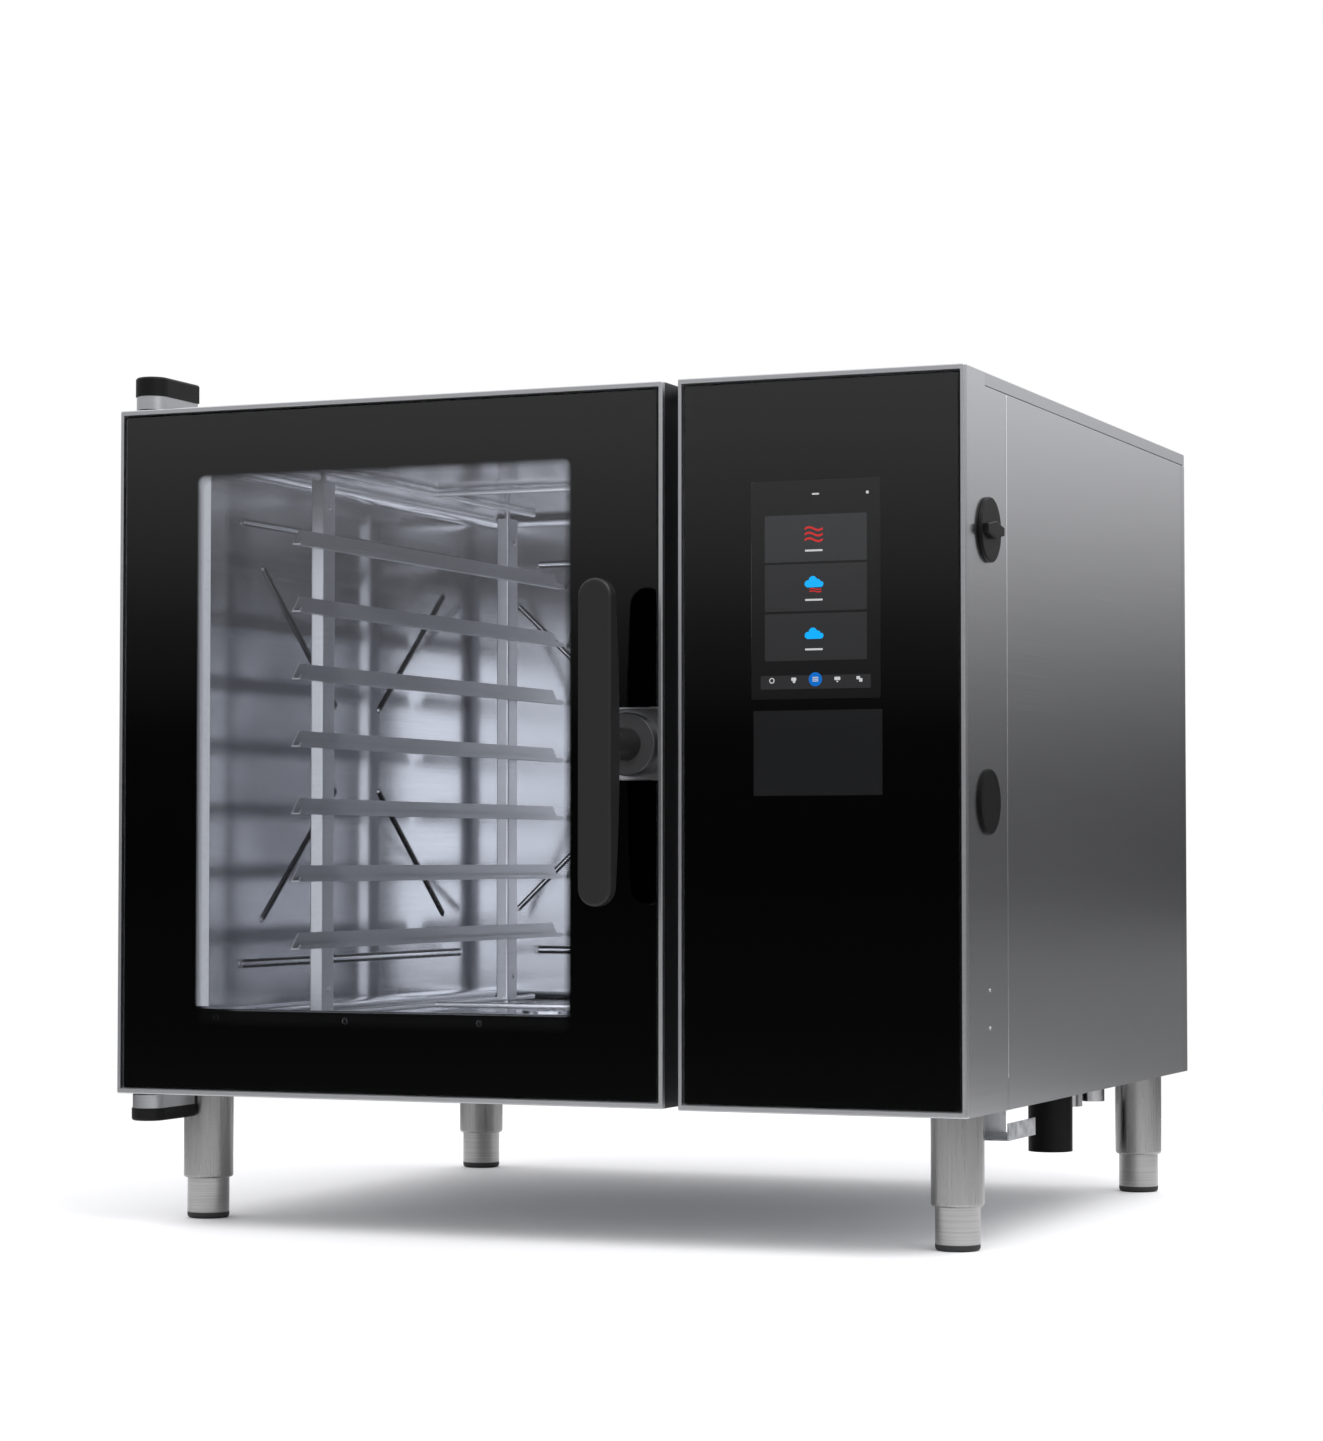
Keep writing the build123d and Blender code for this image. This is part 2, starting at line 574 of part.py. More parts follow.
def control_board():
    x0, x1, z0, z1 = SCREEN
    board = front_plate(x0 - 8, x1 + 8, z0 - 40, z1 + 20, 30, 31.6, 3)
    for x in (x0 + 6, x1 - 6):
        for z in (z0 + 8, z1 - 8):
            board += rod((x, 11.2, z), (x, 30, z), 3)
    board += block(x0 + 20, x0 + 60, 31.6, 45, z0 + 90, z0 + 130)
    for row in range(4):
        z = z0 - 20 + 24 * row
        board += block(x1 - 40, x1 - 10, 31.6, 43, z, z + 16)
    return board


def power_unit():
    """Contactors and relays on a mounting plate that stands on the right side panel."""
    x1 = WIDTH - SHEET
    unit = block(x1 - 22, x1 - 20, 250, 560, 240, 620)
    for y in (262, 548):
        for z in (252, 608):
            unit += rod((x1 - 20, y, z), (x1, y, z), 6)
    for row in range(3):
        for column in range(3):
            y, z = 280 + 85 * column, 270 + 115 * row
            unit += block(x1 - 90 + 12 * row, x1 - 22, y, y + 62, z, z + 84)
    return unit


def side_cap():
    cap = rod((WIDTH, CAP_Y, CAP_Z), (WIDTH + 3.5, CAP_Y, CAP_Z), 31.5)
    cap = fillet(cap.edges().sort_by(Axis.X)[-1], 1.8)
    return cap + tube((WIDTH - 8, CAP_Y, CAP_Z), (WIDTH, CAP_Y, CAP_Z), 19.8, 17)


def cooling_fan_frame():
    x, y = AIR_INLET_AT
    z0, z1 = UNDERSIDE + SHEET, UNDERSIDE + SHEET + 38
    frame = block(x - 60, x + 60, y - 60, y + 60, z0, z1)
    frame = fillet(frame.edges().filter_by(Axis.Z), 6)
    frame -= rod((x, y, z0 + 8), (x, y, z1 + 1), 57)
    frame -= rod((x, y, z0 - 1), (x, y, z1 + 1), 54)
    for turn in (0, 90):
        bar = Pos(x, y, z0 + 2) * Rot(0, 0, turn + 45) * Box(112, 6, 4)
        frame += bar
    frame += rod((x, y, z0), (x, y, z0 + 4), 22) + rod((x, y, z0 + 4), (x, y, z0 + 30), 3)
    return frame


def cooling_fan_rotor():
    x, y = AIR_INLET_AT
    z0 = UNDERSIDE + SHEET + 8
    rotor = rod((x, y, z0), (x, y, z0 + 26), 20)
    for step in range(7):
        blade = Pos(36, 0, z0 + 13) * Rot(35, 0, 0) * Box(36, 26, 2)
        rotor += Pos(x, y, 0) * Rot(0, 0, 360 / 7 * step) * blade
    return rotor - rod((x, y, z0 - 1), (x, y, z0 + 27), 3 + RUNNING)


def screw_head(place, axis, radius, height):
    x, y, z = place
    end = Vector(x, y, z) + Vector(*axis) * height
    head = rod(place, (end.X, end.Y, end.Z), radius)
    return fillet(head.edges().sort_by(Axis(place, axis))[-1], height * 0.7)


def panel_screws():
    screws = []
    for z in (216, 252):
        screws.append(screw_head((WIDTH, 74, z), (1, 0, 0), 1.6, 0.8))
    for x in (25, 240, 460, 680, 892):
        for z in (150, 815):
            screws.append(screw_head((x, DEPTH, z), (0, 1, 0), 5, 2.2))
    return Compound(children=screws)


# ------------------------------------------------------------------ door
def door_frame():
    """Folded door tub: bezel in front, hollow inside, glazed opening in its back."""
    outer = (0, DOOR_WIDTH, DOOR_BOTTOM, DOOR_TOP)
    tub = front_plate(*outer, RIM_DEPTH, DOOR_BACK, 1.5)
    tub -= block(SHEET, DOOR_WIDTH - SHEET, 0, DOOR_BACK - 2, DOOR_BOTTOM + SHEET, DOOR_TOP - SHEET)
    tub -= front_plate(*GLAZED, 0, DOOR_BACK + 5, 8)
    tub += bezel(*outer)
    for z0, z1 in ((DOOR_BOTTOM, DOOR_BOTTOM + 30), (DOOR_TOP - 30, DOOR_TOP)):
        tub += block(HINGE_X - 16, HINGE_X + 12, RIM_DEPTH, 32, z0, z1)
        tub -= rod((HINGE_X, HINGE_Y, z0 - 5), (HINGE_X, HINGE_Y, z1 + 5), PIN_R)
    tub -= recess_outline(RECESS_R + 0.2, -1, RIM_DEPTH + 1, DOOR_WIDTH - SIDE_RIM)
    return tub - rod((HANDLE_X, 0, HANDLE_Z), (HANDLE_X, DOOR_BACK + 5, HANDLE_Z), SPINDLE_R + RUNNING)


def recess_outline(radius, y0, y1, right):
    """Round pocket that runs out to the door's right rim."""
    pocket = rod((HANDLE_X, y0, HANDLE_Z), (HANDLE_X, y1, HANDLE_Z), radius)
    return pocket + block(HANDLE_X, right, y0, y1, HANDLE_Z - radius, HANDLE_Z + radius)


def handle_recess():
    cup = recess_outline(RECESS_R, GLASS_FRONT, GLASS_FRONT + RECESS_DEPTH, DOOR_WIDTH - SIDE_RIM)
    wall = SHEET
    floor_y = GLASS_FRONT + RECESS_DEPTH - wall
    hollow = recess_outline(RECESS_R - wall, 0, floor_y, DOOR_WIDTH - SIDE_RIM - wall)
    cup -= hollow
    return cup - rod((HANDLE_X, 0, HANDLE_Z), (HANDLE_X, 40, HANDLE_Z), 8)


def door_outer_glass():
    sheet = pane(0, DOOR_WIDTH, DOOR_BOTTOM, DOOR_TOP)
    return sheet - recess_outline(RECESS_R + 0.4, -1, 10, DOOR_WIDTH)


def door_liner():
    """Inner door frame that closes on the gasket and holds the inner glass."""
    x0, x1, z0, z1 = GLAZED
    ring = front_ring((40, 549.5, 190, 812), GLAZED, DOOR_BACK, LINER_BACK, 12, 8)
    rebate = (x0 - 6, x1 + 6, z0 - 6, z1 + 6)
    ring -= front_plate(*rebate, LINER_BACK - 5, LINER_BACK + 1, 6)
    return fillet(ring.faces().sort_by(Axis.Y)[-1].outer_wire().edges(), 2)


def door_inner_glass():
    x0, x1, z0, z1 = GLAZED
    return front_plate(x0 - 5.5, x1 + 5.5, z0 - 5.5, z1 + 5.5, LINER_BACK - 5, LINER_BACK - 1, 5)


def glass_rail():
    x0, x1, z0, z1 = RAIL
    back = DOOR_BACK - 2
    rail = block(x0, x1, back - 3, back, z0, z1) + block(x0, x1, back - 9, back - 3, z1 - 1.5, z1)
    return fillet(rail.edges().filter_by(Axis.X).sort_by(Axis.Z)[-1], 1)


def glass_rail_screws():
    z = (RAIL[2] + RAIL[3]) / 2
    heads = []
    for x in RAIL_SCREWS:
        heads.append(screw_head((x, DOOR_BACK - 5, z), (0, -1, 0), 4.2, 2.4))
    return Compound(children=heads)


def door_light_strip():
    """Lamp lens up the left edge of the glazing, on a web that stands on the door's back sheet."""
    bottom, top = GLAZED[2] + 3, GLAZED[3] - 3
    lens = block(64, 84.3, 39, 41.5, bottom, top)
    lens = fillet(lens.edges().filter_by(Axis.Z).sort_by(Axis.X)[-2:], 1)
    return lens + block(64, 66.5, 41.5, DOOR_BACK - 2, bottom, top)


def door_hinge_pins():
    top = rod((HINGE_X, HINGE_Y, DOOR_TOP - 30), (HINGE_X, HINGE_Y, TOP + 12), PIN_R)
    bottom = rod((HINGE_X, HINGE_Y, UNDERSIDE - 12), (HINGE_X, HINGE_Y, DOOR_BOTTOM + 30), PIN_R)
    return Compound(children=[top, bottom])


def hinge_plan(z0, z1, radius):
    """Round-nosed tongue over or under the door's hinge corner."""
    nose = rod((HINGE_X, HINGE_Y, z0), (HINGE_X, HINGE_Y, z1), radius)
    return nose + block(HINGE_X - radius, HINGE_X + radius, HINGE_Y, BRACKET_BACK, z0, z1)


def hinge_brackets():
    brackets = []
    for z0, z1 in ((TOP, TOP + BRACKET), (UNDERSIDE - BRACKET, UNDERSIDE)):
        bracket = hinge_plan(z0, z1, 17)
        bracket -= rod((HINGE_X, HINGE_Y, z0 - 1), (HINGE_X, HINGE_Y, z1 + 1), PIN_R + RUNNING)
        brackets.append(fillet(bracket.edges().filter_by(Axis.Z).sort_by(Axis.Y)[-2:], 2))
    return Compound(children=brackets)


def hinge_caps():
    top = hinge_plan(TOP + BRACKET, TOP + BRACKET + 20, 18)
    top = fillet(top.faces().sort_by(Axis.Z)[-1].edges(), 3)
    bottom = hinge_plan(UNDERSIDE - BRACKET - 13, UNDERSIDE - BRACKET, 18)
    bottom = fillet(bottom.faces().sort_by(Axis.Z)[0].edges(), 3)
    return Compound(children=[top, bottom])


# ------------------------------------------------------------------ handle and latch
def handle_grip():
    """Bar with round ends, flat in front, swelling at the back towards its round neck."""
    front = -HANDLE_REACH
    face = Plane(origin=(HANDLE_X, front, HANDLE_Z), x_dir=(0, 0, 1), z_dir=(0, 1, 0))
    outline = extrude(face * SlotOverall(GRIP_LENGTH, GRIP_WIDTH), 40)
    half = GRIP_LENGTH / 2
    side = Plane(origin=(HANDLE_X - 40, front, HANDLE_Z), x_dir=(0, 0, 1), z_dir=(1, 0, 0))
    ends = ((-half - 1, 13.0), (0.0, 25.0), (half + 1, 13.0))
    # the side plane's second axis points away from the door, so depths are negated
    curve = ThreePointArc(*[(along, -depth) for along, depth in ends])
    close = Polyline((half + 1, -13.0), (half + 1, 1), (-half - 1, 1), (-half - 1, -13.0))
    bar = outline & extrude(side * make_face([curve, close]), 80)
    bar = fillet(bar.edges(), 3.2)
    neck = rod((HANDLE_X, front + 18, HANDLE_Z), (HANDLE_X, GLASS_FRONT + 6, HANDLE_Z), 16)
    flare_start = Plane(origin=(HANDLE_X, front + 22, HANDLE_Z), z_dir=(0, 1, 0))
    flare = flare_start * Cone(17.4, 16, 14, align=(Align.CENTER, Align.CENTER, Align.MIN))
    return bar + neck + flare - rod((HANDLE_X, front + 30, HANDLE_Z), (HANDLE_X, 20, HANDLE_Z), SPINDLE_R)


def handle_boss():
    """Collar that turns with the handle on the floor of the recess."""
    y0, y1 = GLASS_FRONT + 6.0, GLASS_FRONT + RECESS_DEPTH - SHEET - 0.4
    collar = tube((HANDLE_X, y0, HANDLE_Z), (HANDLE_X, y1, HANDLE_Z), 31, SPINDLE_R)
    return fillet(collar.edges().sort_by(Axis.Y)[:2].sort_by(SortBy.LENGTH)[-1], 2)


def handle_spindle():
    return rod((HANDLE_X, -HANDLE_REACH + 30, HANDLE_Z), (HANDLE_X, DOOR_BACK + 14, HANDLE_Z), SPINDLE_R)


def latch_cam():
    """Eccentric disc on the spindle's inner end."""
    offset = Pos(0, 0, 2)
    cam = offset * rod((HANDLE_X, DOOR_BACK + 1, HANDLE_Z), (HANDLE_X, DOOR_BACK + 14, HANDLE_Z), 10.5)
    return cam - rod((HANDLE_X, DOOR_BACK, HANDLE_Z), (HANDLE_X, DOOR_BACK + 20, HANDLE_Z), SPINDLE_R)


def latch_receiver():
    y0 = LINER_BACK
    catch = front_plate(551, 601, HANDLE_Z - 28, HANDLE_Z + 28, y0, CABINET_FRONT, 5)
    catch -= rod((HANDLE_X, y0 - 1, HANDLE_Z), (HANDLE_X, y0 + 8, HANDLE_Z), 15)
    return catch


def side_knob():
    """Flat disc with a lever that is widest over its spindle."""
    x = WIDTH
    base = rod((x + 0.3, KNOB_Y, KNOB_Z), (x + 4, KNOB_Y, KNOB_Z), 31.5)
    base = fillet(base.edges().sort_by(Axis.X)[-1], 1.5)
    face = Plane(origin=(x + 3, KNOB_Y, KNOB_Z), x_dir=(0, 1, 0), z_dir=(1, 0, 0))
    lever = Polygon((-26, -4), (0, -8.5), (26, -4), (26, 4), (0, 8.5), (-26, 4), align=None)
    bar = extrude(face * lever, KNOB_REACH - 3)
    bar = fillet(bar.faces().sort_by(Axis.X)[-1].edges(), 1.2)
    spindle = rod((x - 12, KNOB_Y, KNOB_Z), (x + 1, KNOB_Y, KNOB_Z), 6)
    return base + bar + spindle


# ------------------------------------------------------------------ feet
def leg_places():
    """Feet by name: which corner each stands at."""
    sides = {"left": LEG_INSET, "right": WIDTH - LEG_INSET}
    ends = {"front": LEG_YS[0], "rear": LEG_YS[1]}
    return {f"foot_{end}_{side}": (sides[side], ends[end]) for end in ends for side in sides}


def leg_sleeves():
    sleeves = []
    for x, y in leg_places().values():
        sleeve = rod((x, y, SLEEVE_BOTTOM), (x, y, UNDERSIDE), SLEEVE_R)
        sleeve = fillet(sleeve.edges().sort_by(Axis.Z)[0], 3)
        sleeve -= rod((x, y, 0), (x, y, UNDERSIDE - 4), STEM_R + RUNNING)
        sleeves.append(sleeve)
    return Compound(children=sleeves)


def foot(x, y):
    """Steel stem that slides in its sleeve, and the plastic pad pressed into its lower end."""
    stem = tube((x, y, PAD_HEIGHT), (x, y, 118), STEM_R, STEM_R - 2.5)
    pad = rod((x, y, 0), (x, y, PAD_HEIGHT), STEM_R)
    pad = fillet(pad.edges().sort_by(Axis.Z)[0], 3.5)
    pad += rod((x, y, PAD_HEIGHT), (x, y, PAD_HEIGHT + 20), STEM_R - 2.5)
    return Compound(children=[stem, pad])


# ------------------------------------------------------------------ export
def export_parts():
    """Write every node, moved so that the origin is under the middle of the whole oven."""
    middle_x = (WIDTH + KNOB_REACH) / 2
    middle_y = (DEPTH + SCREW_STANDOFF - HANDLE_REACH) / 2
    os.makedirs("parts", exist_ok=True)
    makers = [
        base_pan, left_side_panel, right_side_panel, rear_panel, top_cover, front_frame,
        cavity_left_wall, cavity_back_wall, cavity_floor, cavity_ceiling, cavity_right_wall,
        air_baffle, drain_strainer, door_gasket, insulation, rack_frames, rack_runners,
        heating_element, steam_injector, fan_wheel, fan_shaft, fan_motor,
        drain_box, drain_pipe, water_inlets, cable_gland, steam_vent,
        control_housing, control_bezel, control_glass, touch_display, control_board, power_unit,
        side_cap, cooling_fan_frame, cooling_fan_rotor, panel_screws,
        door_frame, handle_recess, door_outer_glass, door_liner, door_inner_glass,
        glass_rail, glass_rail_screws, door_light_strip, door_hinge_pins,
        hinge_brackets, hinge_caps,
        handle_grip, handle_boss, handle_spindle, latch_cam, latch_receiver,
        side_knob, leg_sleeves,
    ]
    solids = {maker.__name__: maker() for maker in makers}
    for name, place in leg_places().items():
        solids[name] = foot(*place)
    for name, shape in solids.items():
        export_step(Pos(-middle_x, -middle_y, 0) * shape, f"parts/{name}.step")


export_parts()
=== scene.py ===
"""Looks of the combi steam oven: studio, finishes, and the fine pieces that the CAD frame leaves plain."""

import math

import bmesh
import bpy
from mathutils import Matrix, Vector


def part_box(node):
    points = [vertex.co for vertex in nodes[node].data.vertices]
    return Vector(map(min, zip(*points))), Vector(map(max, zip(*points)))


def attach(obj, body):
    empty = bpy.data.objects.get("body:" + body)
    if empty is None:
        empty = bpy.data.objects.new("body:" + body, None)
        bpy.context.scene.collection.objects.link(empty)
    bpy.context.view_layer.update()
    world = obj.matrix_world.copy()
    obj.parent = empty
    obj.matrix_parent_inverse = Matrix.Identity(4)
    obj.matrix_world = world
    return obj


# Millimetres from the door's left edge, its front plane and the floor. A flat outline seen from
# the front is given as x0, x1, z0, z1.
WINDOW = (89.0, 511.0, 205.5, 772.0)
WINDOW_CORNER = 10.0
DOT_PITCH = 1.9
DOT_ROWS = 5
PRINT_FRONT = 4.75
PRINT_BACK = 4.95
PRINT_MARGIN = 0.8
NOTCH = (568.0, 489.0, 36.4)
DISPLAY = (700.5, 832.0, 529.8, 739.5)
BADGE = (703.2, 833.8, 437.5, 518.9)
TILE_X = (714.7, 818.4)
TILE_TOPS = (706.3, 659.0, 611.6)
TILE_HEIGHT = 45.0
TILE_CORNER = 1.0
ICON_X = 764.8
MENU_BAR = (710.3, 822.1, 539.4, 552.4)
MENU_ICONS = (721.8, 744.1, 788.5, 810.8)
MENU_Z = 547.8
STATUS_Z = 725.6
RAIL_SCREWS = (91.0, 242.0, 393.0, 544.0)
RAIL_SCREW_Z = 212.25
RAIL_TOP = (69.0, 555.0, 220.6, 222.0)
RAIL_FRONT = 38.4
SCREW_FACE = 42.6
HEM = (917.5, 132.6, 166.0, 828.0)

# Rivets of the rack posts: the face of each post and the way it looks, the posts' depth, and two heights.
RIVET_X = (("left", 155, 1), ("right", 484, -1))
RIVET_Y = (("front", 170), ("rear", 633))
RIVET_Z = (("low", 239), ("high", 751))

# Faces of the pressed cavity walls, and the middle of their beads.
LEFT_WALL_X = 57.9
BACK_WALL_Y = 768.1
LEFT_BEAD_Y = 424.5
BACK_BEAD_X = 334.0
BEAD_Z = 501.5

# The two lamps inside the oven, in oven millimetres.
LAMP_AT = (297.0, 85.0, 470.0)
FILL_AT = (319.5, 192.0, 450.0)
LAMP_COLOUR = (0.96, 0.97, 1.0)

# The studio's lights and what they face, in metres.
KEY_AT = (1.6, -1.2, 2.6)
KEY_AIM = (0.0, 0.0, 0.3)
CARD_AT = (1.1, 2.7, -0.02)
CARD_AIM = (0.4, 0.2, 0.3)

# The camera's place in oven millimetres, its yaw and pitch in degrees, and its lens in millimetres.
CAMERA_AT = (1939.67, -3182.28, 377.47)
CAMERA_YAW = 22.691
CAMERA_PITCH = 2.22
CAMERA_LENS = 88.92

# Radius of the studio floor in metres.
FLOOR_RADIUS = 1.8

# Metres: the depth of the door's satin bezel, and the top of the rubber pads under the feet.
BEZEL_DEPTH = 0.006
PAD_TOP = 0.0064

# Sine of the angle above the horizon, and the brightness of the surroundings there.
ROOM_LEVELS = (
    (-0.2, 0.3), (-0.1, 0.12), (-0.05, 0.05), (0.0, 0.03), (0.035, 0.04), (0.065, 0.2), (0.09, 0.47),
    (0.12, 0.75), (0.17, 1.02), (0.4, 1.24), (0.8, 1.6),
)
ROOM_BOTTOM = -0.2
ROOM_TOP = 0.8

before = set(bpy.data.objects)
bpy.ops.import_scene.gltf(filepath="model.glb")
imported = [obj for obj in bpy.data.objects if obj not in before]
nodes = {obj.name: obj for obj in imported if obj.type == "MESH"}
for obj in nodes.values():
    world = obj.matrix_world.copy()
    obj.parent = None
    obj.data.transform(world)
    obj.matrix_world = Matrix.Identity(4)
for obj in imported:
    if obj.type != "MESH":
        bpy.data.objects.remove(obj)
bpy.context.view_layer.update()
door_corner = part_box("door_frame")[0]


# ------------------------------------------------------------------ places and outlines
def oven(x, y, z):
    """A point given in millimetres from the door's left edge, its front plane and the floor."""
    return Vector((door_corner.x + x / 1000, door_corner.y + y / 1000, z / 1000))


def arc(centre, radius, start, end, steps):
    """Points along an arc from start to end, in degrees."""
    turns = [math.radians(start + (end - start) * i / steps) for i in range(steps + 1)]
    return [(centre[0] + radius * math.cos(t), centre[1] + radius * math.sin(t)) for t in turns]


def rounded(box, corner, steps=6):
    """Outline of a rectangle with round corners."""
    x0, x1, z0, z1 = box
    outline = arc((x1 - corner, z0 + corner), corner, -90, 0, steps)
    outline += arc((x1 - corner, z1 - corner), corner, 0, 90, steps)
    outline += arc((x0 + corner, z1 - corner), corner, 90, 180, steps)
    return outline + arc((x0 + corner, z0 + corner), corner, 180, 270, steps)


def grown(box, margin):
    """A rectangle made larger by margin on every side."""
    x0, x1, z0, z1 = box
    return (x0 - margin, x1 + margin, z0 - margin, z1 + margin)


def front_box(node):
    """A node's outline seen from the front, in oven millimetres."""
    low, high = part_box(node)
    left, right = low.x - door_corner.x, high.x - door_corner.x
    return (left * 1000, right * 1000, low.z * 1000, high.z * 1000)


# ------------------------------------------------------------------ pieces
def piece(name, mesh, finish, body):
    """Puts a mesh into the scene with its finish, riding on a body."""
    item = bpy.data.objects.new(name, mesh)
    bpy.context.scene.collection.objects.link(item)
    mesh.materials.clear()
    mesh.materials.append(finish)
    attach(item, body)
    return item


def plate(name, loops, front, back, finish, body):
    """A flat piece parallel to the oven's front, cut to closed outlines in millimetres."""
    curve = bpy.data.curves.new(name, "CURVE")
    curve.dimensions = "2D"
    curve.fill_mode = "BOTH"
    curve.extrude = (back - front) / 2000
    for loop in loops:
        spline = curve.splines.new("POLY")
        spline.points.add(len(loop) - 1)
        for point, (x, z) in zip(spline.points, loop):
            point.co = (x / 1000, z / 1000, 0, 1)
        spline.use_cyclic_u = True
    drawing = bpy.data.objects.new(name, curve)
    mesh = bpy.data.meshes.new_from_object(drawing)
    bpy.data.objects.remove(drawing)
    bpy.data.curves.remove(curve)
    corner = oven(0, (front + back) / 2, 0)
    mesh.transform(Matrix.Translation(corner) @ Matrix.Rotation(math.radians(90), 4, "X"))
    piece(name, mesh, finish, body)


def turned(name, profile, place, axis, finish, body, steps=32):
    """A turned piece from a profile of (radius, height) in millimetres, standing at place along axis."""
    shape = bmesh.new()
    points = [shape.verts.new((radius / 1000, 0, height / 1000)) for radius, height in profile]
    for a, b in zip(points, points[1:]):
        shape.edges.new((a, b))
    bmesh.ops.spin(
        shape, geom=shape.verts[:] + shape.edges[:], cent=(0, 0, 0), axis=(0, 0, 1),
        angle=math.tau, steps=steps, use_merge=True,
    )
    bmesh.ops.remove_doubles(shape, verts=shape.verts, dist=1e-6)
    bmesh.ops.recalc_face_normals(shape, faces=shape.faces)
    for face in shape.faces:
        face.smooth = True
    mesh = bpy.data.meshes.new(name)
    shape.to_mesh(mesh)
    shape.free()
    stand = Vector(axis).to_track_quat("Z", "Y").to_matrix().to_4x4()
    mesh.transform(Matrix.Translation(place) @ stand)
    crease(piece(name, mesh, finish, body))


def crease(item, degrees=35):
    """Keeps a smooth-shaded piece's real edges sharp."""
    limit = math.radians(degrees)
    shape = bmesh.new()
    shape.from_mesh(item.data)
    for edge in shape.edges:
        edge.smooth = len(edge.link_faces) == 2 and edge.calc_face_angle() < limit
    shape.to_mesh(item.data)
    shape.free()


# ------------------------------------------------------------------ finishes
class Finish:
    """A node material: one Principled shader, with noise, colour, roughness and bump added by name."""

    def __init__(self, name, colour, metallic=0.0, roughness=0.5, **sockets):
        self.material = bpy.data.materials.new(name)
        self.material.use_nodes = True
        self.tree = self.material.node_tree
        self.shader = self.tree.nodes["Principled BSDF"]
        self.set("Base Color", (*colour, 1.0))
        self.set("Metallic", metallic)
        self.set("Roughness", roughness)
        for socket, value in sockets.items():
            self.set(socket.replace("_", " ").title().replace("Ior", "IOR"), value)

    def set(self, socket, value):
        self.shader.inputs[socket].default_value = value

    def add(self, kind, **values):
        """A new node; each value goes to the input of that name, or else to the node's own setting."""
        node = self.tree.nodes.new(kind)
        for key, value in values.items():
            if key in node.inputs:
                node.inputs[key].default_value = value
            else:
                setattr(node, key, value)
        return node

    def link(self, output, target):
        self.tree.links.new(output, target)

    def stretched(self, scale):
        """Object coordinates stretched by scale along each axis."""
        coordinates = self.add("ShaderNodeTexCoord")
        mapping = self.add("ShaderNodeMapping", Scale=scale)
        self.link(coordinates.outputs["Object"], mapping.inputs["Vector"])
        return mapping.outputs["Vector"]

    def noise(self, scale, detail=3.0, roughness=0.55):
        """Noise over object coordinates; scale holds cells per metre along each axis."""
        node = self.add("ShaderNodeTexNoise", Scale=1.0, Detail=detail, Roughness=roughness)
        self.link(self.stretched(scale), node.inputs["Vector"])
        return node.outputs["Fac"]

    def cells(self, scale, feature="F1"):
        """Distance inside random cells; scale holds cells per metre along each axis."""
        node = self.add("ShaderNodeTexVoronoi", Scale=1.0, feature=feature)
        self.link(self.stretched(scale), node.inputs["Vector"])
        return node.outputs["Distance"]

    def ranged(self, value, low, high, start=0.0, end=1.0):
        """Runs from low to high while value runs from start to end."""
        node = self.add("ShaderNodeMapRange")
        self.link(value, node.inputs["Value"])
        for key, number in (("From Min", start), ("From Max", end), ("To Min", low), ("To Max", high)):
            node.inputs[key].default_value = number
        return node.outputs["Result"]

    def step(self, axis, place, soft):
        """0 before a place along an axis, in metres, and 1 past it."""
        coordinates = self.add("ShaderNodeTexCoord")
        split = self.add("ShaderNodeSeparateXYZ")
        self.link(coordinates.outputs["Object"], split.inputs["Vector"])
        return self.ranged(split.outputs[axis], 0.0, 1.0, place - soft, place + soft)

    def mix(self, factor, low, high):
        """Colour that runs from low to high with factor; each end is a colour or another node's output."""
        node = self.add("ShaderNodeMix", data_type="RGBA")
        self.link(factor, node.inputs[0])
        for index, end in ((6, low), (7, high)):
            if isinstance(end, bpy.types.NodeSocket):
                self.link(end, node.inputs[index])
            else:
                node.inputs[index].default_value = (*end, 1.0)
        return node.outputs[2]

    def tint(self, factor, low, high):
        self.link(self.mix(factor, low, high), self.shader.inputs["Base Color"])

    def polish(self, factor, low, high):
        self.link(self.ranged(factor, low, high, 0.3, 0.7), self.shader.inputs["Roughness"])

    def emboss(self, factor, depth):
        """Bump with its depth in metres."""
        bump = self.add("ShaderNodeBump", Distance=depth, Strength=1.0)
        self.link(factor, bump.inputs["Height"])
        self.link(bump.outputs["Normal"], self.shader.inputs["Normal"])

    def see_through(self, share):
        """Shows what is behind, tinted by share, under the shader's own gloss."""
        clear = self.add("ShaderNodeBsdfTransparent", Color=(*share, 1.0))
        mix = self.add("ShaderNodeMixShader")
        fresnel = self.add("ShaderNodeFresnel", IOR=1.5)
        self.link(fresnel.outputs["Fac"], mix.inputs["Fac"])
        self.link(clear.outputs["BSDF"], mix.inputs[1])
        self.link(self.shader.outputs["BSDF"], mix.inputs[2])
        output = self.tree.nodes["Material Output"]
        self.link(mix.outputs["Shader"], output.inputs["Surface"])


def steel(name, colour, roughness, grain, streak=0.06, aniso=0.6, turn=0.25):
    """Brushed or ground stainless steel; grain holds streaks per metre along each axis.

    aniso stretches the highlight across the brushing and turn is its direction, as a share of a turn.
    """
    finish = Finish(name, colour, 1.0, roughness, anisotropic=aniso, anisotropic_rotation=turn)
    lines = finish.noise(grain, 4.0)
    dark = [channel * (1 - streak) for channel in colour]
    light = [min(channel * (1 + streak), 1.0) for channel in colour]
    finish.tint(finish.ranged(lines, 0.0, 1.0, 0.25, 0.75), dark, light)
    finish.polish(lines, roughness - streak / 4, roughness + streak / 4)
    finish.emboss(lines, 0.000004)
    return finish.material


